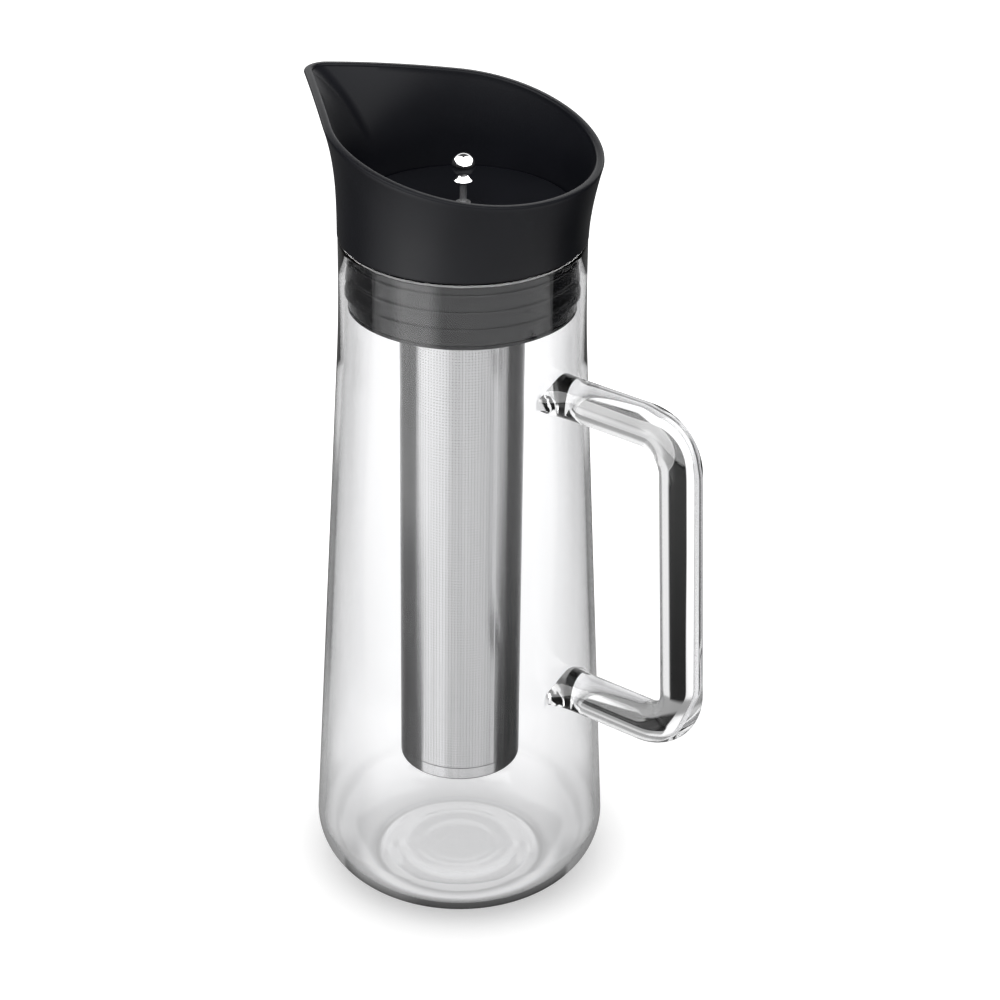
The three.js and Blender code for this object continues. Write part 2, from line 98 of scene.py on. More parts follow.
# Glass
GLASS_SHARP_ANGLE = 60
BASE_CORNER = 21.4
NECK_RADIUS = 42.8
NECK_LENGTH = 29.7
SHOULDER_BLEND = 16
BODY_WALL = 2.2
NECK_WALL = 1.8
BASE_THICKNESS = 4.5
BASE_RECESS = 0.5
RECESS_EDGE = 30
RECESS_SLOPE = 4
THICK_TO = 18
RIPPLES = ((14.5, 3.5, 0.12), (22.6, 3.2, 0.26), (28.5, 2.6, 0.2))
RIM_TALL = 1.7
SHOULDER_HEIGHT = GLASS_TOP - NECK_LENGTH
ROD_RADIUS = 7.4
HANDLE_UPPER = SHOULDER_HEIGHT - 18
HANDLE_LOWER = 92
HANDLE_REACH = 48.95
HANDLE_BEND = 15
WELD_WIDER = 6.2
WELD_TALLER = 0.3
WELD_LENGTH = 8

# Lid
SLEEVE_DEPTH = 1.1
SEAL_THICKNESS = 1.1
INSERT_WALL = 2
BEAD_HEIGHT = 1.2
FLANGE_THICKNESS = 2.2
LIP_PITCH = 6.2
LIP_HEIGHT = 1.7
LIP_SLOPE = 0.1
TOP_LIP_DROP = 5.4
LIP_COUNT = 3
SKIRT_RADIUS = 43.0
SKIRT_WALL = 2.4
FLOOR_RADIUS = 38.6
LEDGE_TOP = SKIRT_BOTTOM + 5.2
LEDGE_THICKNESS = 1.9
MOUTH_RADIUS = 33.8
RIM_WIDTH = 3
RIM_ROUND = 1
RIM_HANDLE_HEIGHT = 27.4
RIM_CURVE_POWER = 1.2
TIP_RADIUS = 7.9
OUTER_FLARE = (1.5, 3.2)
INNER_FLARE = (1.4, 2.8)
OUTER_ROWS = 30
INNER_ROWS = 26
SPOKE_WIDTH = 3
SPOKE_HEIGHT = 5
SPOKE_COUNT = 4

# Flap, hinge and knob
FLAP_THICKNESS = 2.2
BOSS_RADIUS = 6
BOSS_SLOPE = 2
BOSS_HEIGHT = 1.4
HINGE_RADIUS = 2
GASKET_INSET = 0.8
KNUCKLE_WIDTH = 12
LUG_WIDTH = 3.2
LUG_ROOT = 1.6
KNOB_SHRINK = 0.9
KNOB_FOOT = 3.2
KNOB_FOOT_EDGE = 0.4
KNOB_FLARE_POWER = 1.2
KNOB_WAIST = 1.7
STEM_RADIUS = 1.15
STEM_SOCKET = 3.2
NUT_RADIUS = 3.1
NUT_FACE_SHARE = 0.9
NUT_CORNER = 0.5

# Filter
SHEET = 0.5
CAP_FILLET = 1
COLLAR_WALL = 1.8
COLLAR_FLANGE = 1.4
SOCKET_WALL = 2.4
SOCKET_HEIGHT = 8.4
RING_RADIUS = 0.65
RING_PROUD = 0.4
RING_RISE = 4.2
HOLE_COLUMNS = 122
HOLE_ROWS = 158
HOLE_SHARE = 0.3
SEAM_ANGLE = -18
SEAM_WIDTH = 2.2
SEAM_GROOVE = 0.3
SEAM_DEPTH = 0.14

# The camera of the photograph. Its azimuth is also where the studio's front is.
CAMERA_AZIMUTH = math.radians(38.3)
CAMERA_DISTANCE = 0.9411
CAMERA_HEIGHT = 0.6640
CAMERA_PITCH = math.radians(28.579)
CAMERA_YAW = math.radians(0.738)
CAMERA_ROLL = math.radians(0.342)
CAMERA_LENS = 108
CAMERA_SENSOR = 36

# The lamp, in degrees, metres and watts
KEY_TURN = -12
KEY_ELEVATION = 55
KEY_DISTANCE = 1.4
KEY_SIZE = 1.6
KEY_POWER = 11
KEY_TARGET = 0.15

# How bright the studio is, where white paper in full light is 1
AMBIENT = 0.5
FLOOR_COLOUR = (0.62, 0.62, 0.62, 1)
FLOOR_GLOW = 0.42
GLASS_GLOW = 0.8
FRONT_LIGHT = 0.71
WINDOW_LIGHT = 1.1
LEFT_WING = 0.045
RIGHT_WING = 0.012
NEAR_LEFT = 0.34
NEAR_RIGHT = 0.3
NEAR_BACK = 0.32
BACK_LIGHT = 0.15
STEEL_BACK_LIGHT = 0.75
OUTLINE_LIGHT = 0.8
PIPED_LIGHT = 1.1
SKY_WHITE = 1.25
DOME_LIGHT = 1.2
MIRRORED_DOME = 8
ENTERED_DOME = 1.5
HORIZON_LIGHT = 0.12
SKY_BEHIND = 1.6
# How much painted shade takes from the floor's glow, near the base and through the glass
LOW_SIDE_SHADE = 0.74
CORNER_SHADE = 0.55
FOOT_SHADE = 0.2
EDGE_SHADE = 0.85
SIDE_SPREAD = 0.12
FLOOR_HALF = 6

# Soft steps: where each starts and ends, then the values before and after it, 0 and 1 if left out
# Round the studio, in degrees from its front
LEFT_TO_RIGHT = (-20, 20)
LEFT_WING_TURN = (84, 116, LEFT_WING * 1.7, LEFT_WING)
BACK_TURN = (124, 150)
STEEL_BACK_TURN = (138, 166)
OUTLINE_TURN = (132, 146)
STEEL_FRONT = (25, 80, FRONT_LIGHT * 1.13, FRONT_LIGHT)
WINDOW_LEFT = (-72, -52)
STEEL_WINDOW_LEFT = (-92, -74)
WINDOW_RIGHT = (-34, -16, 1, 0)
FRONT_SOFTNESS = (-1.5, 1.5)
FRONT_LEFT = (-60, -40, 6, 0)
CORNER_TURN = (80, 110, 1, 0)
DOME_TURN = (-80, 80, 1.35, 0.62)
SKY_FRONT_TURN = (78, 100)
SKY_BACK_TURN = (125, 145)

# On the floor, in metres from the axis, or for the sides from the studio's middle line
UNDER_BASE = (0.036, 0.07, 0.12, 1)
NEAR_FLOOR = (0.1, 0.24, 1, 0)
FRONT_END = (0.1, 0.42, 64, 88)
FRONT_LEFT_END = (0.25, 0.42, 1, 0)
GLASS_FRONT = (0.25, 0.5, FRONT_LIGHT * 0.38, FRONT_LIGHT * 0.86)
GLASS_WINDOW = (0.36, 0.46, WINDOW_LIGHT * 0.24, WINDOW_LIGHT)
STEEL_WINDOW = (0.36, 0.46, WINDOW_LIGHT * 0.29, WINDOW_LIGHT * 0.4)
OUTLINE_START = (0.31, 0.42)
PIPED_START = (0.05, 0.1, PIPED_LIGHT * 0.12, PIPED_LIGHT)
OPEN_FLOOR = (0.035, 0.08, FLOOR_GLOW, 0.8)
FAR_FLOOR = (0.1, 0.3, 0, 0.3)
FLOOR_IN_GLASS = (0.03, 0.09, GLASS_GLOW * 0.82, GLASS_GLOW)
SIDES = (0.015, 0.07, 1, 0.62)
LOW_SIDES = (0.026, 0.05)
LOW_SIDES_END = (0.055, 0.1, 1, 0)
CORNER_START = (0.034, 0.042)
# Painted shade rings on the floor, at the foot and, seen through the rod, at the base's edge
FOOT_RING = ((0.0295, 0.031), (0.031, 0.036, 1, 0))
EDGE_RING = ((0.029, 0.034), (0.047, 0.05, 1, 0))

# In the sky, as heights on a unit sphere
SHARP_DOME = (0.02, 0.12)
SOFT_DOME = (0.36, 0.72, HORIZON_LIGHT, DOME_LIGHT)
SHARP_SIDES = (0.1, 0.3)
SKY_BEHIND_START = (0.02, 0.12, HORIZON_LIGHT, SKY_BEHIND)
SKY_BEHIND_END = (0.5, 0.58)
# Painted shade in the sky, low down, where it is seen through the rod
SKY_IN_ROD = (0.12, 0.3, 0.42, 1.1)

# Painted shade on the floor behind the handle, seen only through its rod, in degrees from straight behind
# its grip and in metres from it
ZONE_RIGHT = (27, 34, 1, 0)
ZONE_LEFT = (0.2, 0.3, -6, -8)
ZONE_SOFTNESS = (0, 3)
ZONE_START = (0.1, 0.14)
ZONE_END = (0.37, 0.4, 1, 0)
FAR_ZONE_LEFT = (-9, -6)
FAR_ZONE_START = (0.36, 0.4, 0, 0.66)
FAR_ZONE_FADE = (0.5, 1, 1, 0.3)
EDGE_ZONE = (52, 62, 0, 0.8)
LOW_ZONE = (-34, -24)
LOW_ZONE_END = (0.13, 0.155, 0.6, 0)


# Mesh helpers

def soften(mesh, sharp_angle):
    """Shades a mesh smoothly, apart from edges that turn by more than the sharp angle."""
    mesh.polygons.foreach_set("use_smooth", [True] * len(mesh.polygons))
    mesh.set_sharp_from_angle(angle=math.radians(sharp_angle))


def link_object(name, data):
    item = bpy.data.objects.new(name, data)
    bpy.context.scene.collection.objects.link(item)
    return item


def turn_outwards(mesh):
    work = bmesh.new()
    work.from_mesh(mesh)
    bmesh.ops.recalc_face_normals(work, faces=work.faces)
    work.to_mesh(mesh)
    work.free()


def new_object(name, vertices, faces, sharp_angle=SHARP_ANGLE):
    """A mesh object in metres from millimetre points, its faces turned outwards."""
    mesh = bpy.data.meshes.new(name)
    mesh.from_pydata([tuple(MM * value for value in vertex) for vertex in vertices], [], faces)
    turn_outwards(mesh)
    soften(mesh, sharp_angle)
    return link_object(name, mesh)


def arc(centre, radii, start, end, steps):
    """Points [r, z] of an ellipse's arc, from one angle in degrees to another."""
    angles = [math.radians(start + (end - start) * i / steps) for i in range(steps + 1)]
    return [(centre[0] + radii[0] * math.cos(a), centre[1] + radii[1] * math.sin(a)) for a in angles]


def rounded(corners, closed=True, steps=4):
    """An outline from corners (r, z, fillet), each corner replaced by an arc of its fillet's radius."""
    points = []
    for i, (r, z, fillet) in enumerate(corners):
        here = Vector((r, z))
        if fillet <= 0 or (not closed and i in (0, len(corners) - 1)):
            points.append((r, z))
            continue
        to_before = (Vector(corners[i - 1][:2]) - here).normalized()
        to_after = (Vector(corners[(i + 1) % len(corners)][:2]) - here).normalized()
        half = to_before.angle(to_after) / 2
        centre = here + (to_before + to_after).normalized() * (fillet / math.sin(half))
        first = here + to_before * (fillet / math.tan(half)) - centre
        last = here + to_after * (fillet / math.tan(half)) - centre
        turn = first.angle_signed(last)
        for k in range(steps + 1):
            spoke = first.copy()
            spoke.rotate(Matrix.Rotation(-turn * k / steps, 2))
            points.append(tuple(centre + spoke))
    return points


def turned(name, outline, steps=160, sharp_angle=SHARP_ANGLE):
    """A body turned about the Z axis. An outline that leaves the axis free closes on itself."""
    on_axis = outline[0][0] == 0
    vertices = []
    rings = []
    for r, z in outline:
        if r == 0:
            rings.append([len(vertices)] * steps)
            vertices.append((0, 0, z))
            continue
        rings.append(list(range(len(vertices), len(vertices) + steps)))
        for k in range(steps):
            angle = 2 * math.pi * k / steps
            vertices.append((r * math.cos(angle), r * math.sin(angle), z))
    pairs = list(zip(rings, rings[1:]))
    if not on_axis:
        pairs.append((rings[-1], rings[0]))
    faces = []
    for low, high in pairs:
        for k in range(steps):
            n = (k + 1) % steps
            corners = [low[k], low[n], high[n], high[k]]
            faces.append(tuple(dict.fromkeys(corners)))
    return new_object(name, vertices, faces, sharp_angle)


def ring_of(name, inner, outer, low, high, fillet):
    """A plain ring with its four edges rounded."""
    corners = [(inner, low, fillet), (outer, low, fillet), (outer, high, fillet), (inner, high, fillet)]
    return turned(name, rounded(corners))


def rounded_bar(name, length, radius, fillet, steps=48):
    """A round bar along Z around the origin, with rounded ends."""
    half = length / 2
    corners = [(0, -half, 0), (radius, -half, fillet), (radius, half, fillet), (0, half, 0)]
    return turned(name, rounded(corners, closed=False), steps)


def move(piece, matrix):
    piece.data.transform(matrix)
    return piece


def place(x, y, z):
    return Matrix.Translation((x * MM, y * MM, z * MM))


def rounded_block(name, low, high, fillet):
    """A block between two corners in millimetres, with its edges rounded."""
    work = bmesh.new()
    bmesh.ops.create_cube(work, size=1)
    for vertex in work.verts:
        vertex.co = Vector([(low[i] + (high[i] - low[i]) * (vertex.co[i] + 0.5)) * MM for i in range(3)])
    edges = list(work.edges)
    bmesh.ops.bevel(work, geom=edges, offset=fillet * MM, segments=3, profile=0.5, affect="EDGES")
    mesh = bpy.data.meshes.new(name)
    work.to_mesh(mesh)
    work.free()
    soften(mesh, SHARP_ANGLE)
    return link_object(name, mesh)


def combine(piece, others, operation="UNION", sharp_angle=SHARP_ANGLE):
    """Joins or cuts a piece with others, which are used up."""
    for other in others:
        change = piece.modifiers.new("combine", "BOOLEAN")
        change.operation = operation
        change.solver = "EXACT"
        change.object = other
    depsgraph = bpy.context.evaluated_depsgraph_get()
    mesh = bpy.data.meshes.new_from_object(piece.evaluated_get(depsgraph))
    piece.modifiers.clear()
    piece.data = mesh
    for other in others:
        bpy.data.objects.remove(other)
    soften(mesh, sharp_angle)
    return piece


# Materials

NOISE_LOW, NOISE_HIGH = 0.3, 0.7


def noise(tree, scale, detail=3, stretch=(1, 1, 1)):
    """A noise texture in the piece's own coordinates. stretch makes its grain longer along an axis."""
    coordinates = tree.nodes.new("ShaderNodeTexCoord")
    mapping = tree.nodes.new("ShaderNodeMapping")
    mapping.inputs["Scale"].default_value = stretch
    texture = tree.nodes.new("ShaderNodeTexNoise")
    texture.inputs["Scale"].default_value = scale
    texture.inputs["Detail"].default_value = detail
    tree.links.new(coordinates.outputs["Object"], mapping.inputs["Vector"])
    tree.links.new(mapping.outputs["Vector"], texture.inputs["Vector"])
    return texture.outputs["Fac"]


def spread(tree, value, low, high):
    """The usual range of a noise drawn out to low and high."""
    node = tree.nodes.new("ShaderNodeMapRange")
    node.inputs["From Min"].default_value = NOISE_LOW
    node.inputs["From Max"].default_value = NOISE_HIGH
    node.inputs["To Min"].default_value = low
    node.inputs["To Max"].default_value = high
    tree.links.new(value, node.inputs["Value"])
    return node.outputs["Result"]


def tint(tree, value, dark, light):
    """Colours between dark and light, by the value."""
    node = tree.nodes.new("ShaderNodeMix")
    node.data_type = "RGBA"
    node.inputs["A"].default_value = (*dark, 1)
    node.inputs["B"].default_value = (*light, 1)
    tree.links.new(spread(tree, value, 0, 1), node.inputs["Factor"])
    return node.outputs["Result"]


def bump(tree, height, distance_mm, below=None):
    node = tree.nodes.new("ShaderNodeBump")
    node.inputs["Distance"].default_value = distance_mm * MM
    tree.links.new(height, node.inputs["Height"])
    if below is not None:
        tree.links.new(below, node.inputs["Normal"])
    return node.outputs["Normal"]


def principled(name):
    material = bpy.data.materials.new(name)
    material.use_nodes = True
    tree = material.node_tree
    return material, tree, tree.nodes["Principled BSDF"]


def clear_glass():
    material, tree, shader = principled("clear_glass")
    shader.inputs["Base Color"].default_value = (0.988, 0.989, 0.994, 1)
    shader.inputs["Roughness"].default_value = 0
    shader.inputs["IOR"].default_value = 1.47
    shader.inputs["Transmission Weight"].default_value = 1
    drawn = noise(tree, 30, detail=1, stretch=(1, 1, 0.25))
    tree.links.new(bump(tree, drawn, 0.06), shader.inputs["Normal"])
    return material


def black_plastic():
    material, tree, shader = principled("black_plastic")
    cloud = noise(tree, 35, detail=4)
    grain = noise(tree, 1500, detail=2)
    colour = tint(tree, cloud, (0.0062, 0.0067, 0.0098), (0.0095, 0.0102, 0.0145))
    tree.links.new(colour, shader.inputs["Base Color"])
    tree.links.new(spread(tree, cloud, 0.36, 0.46), shader.inputs["Roughness"])
    tree.links.new(bump(tree, grain, 0.02), shader.inputs["Normal"])
    return material


def black_silicone():
    material, tree, shader = principled("black_silicone")
    cloud = noise(tree, 60, detail=5)
    grain = noise(tree, 1100, detail=3)
    colour = tint(tree, cloud, (0.0055, 0.006, 0.0082), (0.0095, 0.0103, 0.014))
    tree.links.new(colour, shader.inputs["Base Color"])
    shader.inputs["IOR"].default_value = 1.58
    tree.links.new(spread(tree, cloud, 0.13, 0.22), shader.inputs["Roughness"])
    tree.links.new(bump(tree, grain, 0.002), shader.inputs["Normal"])
    return material


def filter_steel():
    material, tree, shader = principled("filter_steel")
    streak = noise(tree, 300, detail=4, stretch=(1, 1, 0.015))
    wave = noise(tree, 170, detail=2, stretch=(1, 1, 0.03))
    shader.inputs["Metallic"].default_value = 1
    colour = tint(tree, streak, (0.74, 0.74, 0.745), (0.84, 0.84, 0.845))
    tree.links.new(colour, shader.inputs["Base Color"])
    tree.links.new(spread(tree, streak, 0.2, 0.26), shader.inputs["Roughness"])
    shader.inputs["Anisotropic"].default_value = 0.9
    shader.inputs["Anisotropic Rotation"].default_value = 0.25
    around = tree.nodes.new("ShaderNodeTangent")
    around.direction_type = "RADIAL"
    around.axis = "Z"
    tree.links.new(around.outputs["Tangent"], shader.inputs["Tangent"])
    rolled = bump(tree, wave, 0.05)
    tree.links.new(bump(tree, streak, 0.004, below=rolled), shader.inputs["Normal"])
    return material


def polished_steel(name, roughness):
    material, tree, shader = principled(name)
    smear = noise(tree, 220, detail=3)
    scratches = noise(tree, 900, detail=4, stretch=(1, 1, 0.1))
    shader.inputs["Metallic"].default_value = 1
    shader.inputs["Roughness"].default_value = roughness
    colour = tint(tree, smear, (0.80, 0.80, 0.805), (0.86, 0.86, 0.865))
    tree.links.new(colour, shader.inputs["Base Color"])
    tree.links.new(bump(tree, scratches, 0.0008), shader.inputs["Normal"])
    return material


FINISHES = {
    "glass": clear_glass(),
    "black_plastic": black_plastic(),
    "silicone": black_silicone(),
    "filter_steel": filter_steel(),
    "polished_steel": polished_steel("polished_steel", 0.6),
}
MIRROR_STEEL = polished_steel("mirror_steel", 0)


def finish_piece(piece, body, slot, *nodes, finish=None):
    """Gives a piece its material, the body that it rides on and the CAD nodes that it stands for."""
    piece.data.materials.clear()
    piece.data.materials.append(finish or FINISHES[slot])
    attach(piece, body)
    if nodes:
        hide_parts(*nodes)
    return piece


def make_ring(name, body, slot, node, inner, outer, fillet):
    """A plain ring, as tall as the CAD node that it stands for."""
    ring = ring_of(name, inner, outer, bottom_of(node), top_of(node), fillet)
    finish_piece(ring, body, slot, node)


# Glass carafe

def wall_radius(height):
    """The radius of the long side's outer face at a height."""
    rise = (height - BASE_CORNER) / (SHOULDER_HEIGHT - BASE_CORNER)
    return BODY_RADIUS + (NECK_RADIUS - BODY_RADIUS) * min(rise, 1)


def glass_side(inset_low, inset_neck, rows=48, blend_rows=14):
    """The long side from the base corner up to the neck, moved in by the wall's thickness."""
    start_height = SHOULDER_HEIGHT - SHOULDER_BLEND
    points = []
    for i in range(1, rows):
        height = BASE_CORNER + (start_height - BASE_CORNER) * i / rows
        points.append((wall_radius(height) - inset_low, height))
    start = Vector((wall_radius(start_height) - inset_low, start_height))
    middle = Vector((NECK_RADIUS - inset_neck, SHOULDER_HEIGHT))
    end = Vector((NECK_RADIUS - inset_neck, SHOULDER_HEIGHT + SHOULDER_BLEND))
    for i in range(blend_rows + 1):
        t = i / blend_rows
        points.append(tuple(start * (1 - t) ** 2 + middle * 2 * t * (1 - t) + end * t ** 2))
    return points


def ripple(radius):
    """The height of the soft rings pressed into the base, at a radius."""
    height = 0
    for middle, width, depth in RIPPLES:
        off = abs(radius - middle) / width
        if off < 1:
            height += depth * (1 + math.cos(math.pi * off)) / 2
    return height


def eased(value, low, high):
    """From 0 below low to 1 above high, with soft ends."""
    share = min(max((value - low) / (high - low), 0), 1)
    return share * share * (3 - 2 * share)


def base_outside(base_flat, steps=72):
    """The underside, recessed a little within its standing ring."""
    points = []
    for i in range(steps):
        radius = base_flat * i / steps
        lowered = eased(radius, RECESS_EDGE - RECESS_SLOPE, RECESS_EDGE)
        points.append((radius, BASE_RECESS * (1 - lowered)))
    return points


def base_inside(base_flat, steps=72):
    """The floor inside, thicker towards the middle, with its soft rings."""
    points = []
    for i in reversed(range(steps)):
        radius = base_flat * i / steps
        thicker = (BASE_THICKNESS - BODY_WALL) * (1 - eased(radius, THICK_TO, base_flat))
        points.append((radius, BODY_WALL + thicker - ripple(radius)))
    return points


def glass_shell(corner_steps=28, rim_steps=16):
    base_flat = BODY_RADIUS - BASE_CORNER
    corner_centre = (base_flat, BASE_CORNER)
    inner_corner = BASE_CORNER - BODY_WALL
    rim_half = NECK_WALL / 2
    outline = base_outside(base_flat)
    outline += arc(corner_centre, (BASE_CORNER, BASE_CORNER), -90, 0, corner_steps)
    outline += glass_side(0, 0)
    outline += arc((NECK_RADIUS - rim_half, GLASS_TOP - RIM_TALL), (rim_half, RIM_TALL), 0, 180, rim_steps)
    outline += glass_side(BODY_WALL, NECK_WALL)[::-1]
    outline += arc(corner_centre, (inner_corner, inner_corner), 0, -90, corner_steps)
    outline += base_inside(base_flat)
    return turned("carafe_glass", outline, steps=192, sharp_angle=GLASS_SHARP_ANGLE)


def handle_path(bend_steps=20):
    """The handle's middle line in the XZ plane, with its two bends."""
    upper, lower = wall_radius(HANDLE_UPPER), wall_radius(HANDLE_LOWER)
    corners = [
        (upper, HANDLE_UPPER, 0),
        (upper + HANDLE_REACH, HANDLE_UPPER, HANDLE_BEND),
        (lower + HANDLE_REACH, HANDLE_LOWER, HANDLE_BEND),
        (lower, HANDLE_LOWER, 0),
    ]
    return [Vector(point) for point in rounded(corners, closed=False, steps=bend_steps)]


def evenly(points, step):
    """Points along a line of points, about a step apart."""
    stations = [points[0]]
    for before, after in zip(points, points[1:]):
        count = max(1, round((after - before).length / step))
        stations += [before.lerp(after, (i + 1) / count) for i in range(count)]
    return stations


def weld_share(distance):
    """How far the weld has spread at a distance from the wall, from 0 where the rod is plain to 1."""
    share = max(0, 1 - distance / WELD_LENGTH)
    return 1 - math.sqrt(1 - share ** 2)


def wall_middle(height):
    return wall_radius(height) - BODY_WALL / 2


def glass_handle(sides=56, step=1.4):
    """The bent rod. Its ends spread out and stop inside the wall."""
    line = evenly(handle_path(), step)
    lengths = [0]
    for before, after in zip(line, line[1:]):
        lengths.append(lengths[-1] + (after - before).length)
    vertices = []
    last = len(line) - 1
    for i, point in enumerate(line):
        along = (line[min(i + 1, last)] - line[max(i - 1, 0)]).normalized()
        share = weld_share(min(lengths[i], lengths[-1] - lengths[i]))
        for k in range(sides):
            angle = 2 * math.pi * k / sides
            across = (ROD_RADIUS + WELD_TALLER * share) * math.cos(angle)
            x = point.x - along.y * across
            y = (ROD_RADIUS + WELD_WIDER * share * math.sin(angle) ** 4) * math.sin(angle)
            z = point.y + along.x * across
            if i in (0, last):
                x = math.sqrt(wall_middle(z) ** 2 - y ** 2)
            vertices.append((x, y, z))
    faces = []
    for i in range(last):
        for k in range(sides):
            n = (k + 1) % sides
            faces.append((i * sides + k, i * sides + n, (i + 1) * sides + n, (i + 1) * sides + k))
    for i, start in ((0, 0), (last, last * sides)):
        centre = len(vertices)
        height = line[i].y
        vertices.append((wall_middle(height), 0, height))
        faces += [(start + k, start + (k + 1) % sides, centre) for k in range(sides)]
    return new_object("handle_rod", vertices, faces, sharp_angle=GLASS_SHARP_ANGLE)


def make_carafe():
    glass = combine(glass_shell(), [glass_handle()], sharp_angle=50)
    finish_piece(glass, "carafe", "glass", "carafe_body", "carafe_handle")


# Pour funnel

def rim_outline(inset, round_steps=88, flank_steps=22, tip_steps=16):
    """The drop-shaped rim, seen from above, from the handle side round by the spout."""
    tip_centre = SPOUT_REACH - TIP_RADIUS
    opening = 180 - math.degrees(math.acos((RIM_RADIUS - TIP_RADIUS) / tip_centre))
    round_radius = RIM_RADIUS - inset
    tip_radius = TIP_RADIUS - inset
    half = arc((0, 0), (round_radius, round_radius), 0, opening, round_steps)
    tip = arc((-tip_centre, 0), (tip_radius, tip_radius), opening, 180, tip_steps)
    flank_start, flank_end = Vector(half[-1]), Vector(tip[0])
    half += [flank_start.lerp(flank_end, i / flank_steps) for i in range(1, flank_steps)]
    half = [Vector(point) for point in half + tip]
    mirrored = [Vector((point.x, -point.y)) for point in half[1:-1]]
    return half + mirrored[::-1]


def rim_height(x):
    """The slanted rim's height, from the handle side up to the spout."""
    along = min(max((RIM_RADIUS - x) / (RIM_RADIUS + SPOUT_REACH), 0), 1)
    rise = math.sin(math.pi / 2 * along ** RIM_CURVE_POWER)
    handle_height = SKIRT_BOTTOM + RIM_HANDLE_HEIGHT
    return handle_height + (RIM_TOP - handle_height) * rise


def funnel_column(circle_radius, low, rim_point, high, flare, steps):
    """One wall column, from a circle low down to a point on the rim above."""
    heading = math.atan2(rim_point.y, rim_point.x)
    foot = Vector((math.cos(heading), math.sin(heading))) * circle_radius
    spout_share = (1 - math.cos(heading)) / 2
    power = flare[0] + (flare[1] - flare[0]) * spout_share
    column = []
    for i in range(steps + 1):
        rise = i / steps
        at = foot.lerp(rim_point, rise ** power)
        column.append((at.x, at.y, low + (high - low) * rise))
    return column


def rim_cap(outer_point, inner_point, top, steps=6):
    """The rounded top of the wall between its outer and inner faces."""
    width = (inner_point - outer_point).length
    across = (inner_point - outer_point) / width
    height = top - RIM_ROUND
    outer_round = arc((RIM_ROUND, height), (RIM_ROUND, RIM_ROUND), 180, 90, steps)[1:-1]
    inner_round = arc((width - RIM_ROUND, height), (RIM_ROUND, RIM_ROUND), 90, 0, steps)[:-1]
    points = []
    for inward, z in outer_round + inner_round:
        at = outer_point + across * inward
        points.append((at.x, at.y, z))
    return points


def funnel_shell():
    outer = rim_outline(0)
    inner = rim_outline(RIM_WIDTH)
    skirt_inner = SKIRT_RADIUS - SKIRT_WALL
    ledge_bottom = LEDGE_TOP - LEDGE_THICKNESS
    inside_profile = rounded([
        (FLOOR_RADIUS, LEDGE_TOP + 3, 0),
        (FLOOR_RADIUS, LEDGE_TOP, 0.5),
        (MOUTH_RADIUS, LEDGE_TOP, 0.5),
        (MOUTH_RADIUS, ledge_bottom, 0.4),
        (skirt_inner, ledge_bottom, 0.5),
        (skirt_inner, SKIRT_BOTTOM, 0.4),
        (SKIRT_RADIUS, SKIRT_BOTTOM, 0.5),
        (SKIRT_RADIUS, SKIRT_BOTTOM + 3, 0),
    ], closed=False)[1:-1]
    columns = []
    for outer_point, inner_point in zip(outer, inner):
        top = rim_height(outer_point.x)
        heading = math.atan2(outer_point.y, outer_point.x)
        high = top - RIM_ROUND
        column = funnel_column(SKIRT_RADIUS, SKIRT_BOTTOM, outer_point, high, OUTER_FLARE, OUTER_ROWS)[1:]
        column += rim_cap(outer_point, inner_point, top)
        column += funnel_column(FLOOR_RADIUS, LEDGE_TOP, inner_point, high, INNER_FLARE, INNER_ROWS)[:0:-1]
        column += [(r * math.cos(heading), r * math.sin(heading), z) for r, z in inside_profile]
        columns.append(column)
    rows = len(columns[0])
    vertices = [point for column in columns for point in column]
    faces = []
    for i in range(len(columns)):
        n = (i + 1) % len(columns)
        for k in range(rows):
            above = (k + 1) % rows
            faces.append((i * rows + k, n * rows + k, n * rows + above, i * rows + above))
    return new_object("lid_funnel", vertices, faces)


def hinge_bar(name, radius, width, middle_y=0, fillet=0.3):
    bar = rounded_bar(name, width, radius, fillet)
    return move(bar, place(HINGE_X, middle_y, HINGE_Z) @ Matrix.Rotation(math.pi / 2, 4, "X"))


def make_funnel():
    parts = []
    middle = KNUCKLE_WIDTH / 2 + SEAT_GAP + LUG_WIDTH / 2
    for y in (-middle, middle):
        low = (HINGE_X, y - LUG_WIDTH / 2, HINGE_Z - HINGE_RADIUS)
        high = (FLOOR_RADIUS + LUG_ROOT, y + LUG_WIDTH / 2, HINGE_Z + HINGE_RADIUS)
        parts.append(rounded_block("lug_arm", low, high, 0.2))
        parts.append(hinge_bar("lug_eye", HINGE_RADIUS, LUG_WIDTH, y))
    funnel = combine(funnel_shell(), parts)
    bore = hinge_bar("lug_bore", PIN_RADIUS + SEAT_GAP, PIN_LENGTH + CUT_OVERRUN, fillet=0.1)
    combine(funnel, [bore], "DIFFERENCE")
    finish_piece(funnel, "lid", "black_plastic", "pour_funnel")


# Lid insert and its seal

SLEEVE_RADIUS = LIP_RADIUS - SLEEVE_DEPTH
SEAL_INNER = SLEEVE_RADIUS - SEAL_THICKNESS
INSERT_OUTER = SEAL_INNER - SEAT_GAP
INSERT_INNER = INSERT_OUTER - INSERT_WALL
COLLAR_INNER = FILTER_RADIUS + SEAT_GAP
COLLAR_OUTER = COLLAR_INNER + COLLAR_WALL
SOCKET_INNER = COLLAR_OUTER + RING_PROUD + SEAT_GAP
SOCKET_OUTER = SOCKET_INNER + SOCKET_WALL
COLLAR_FLANGE_TOP = INSERT_BOTTOM + COLLAR_FLANGE
SOCKET_BOTTOM = COLLAR_FLANGE_TOP + SEAT_GAP


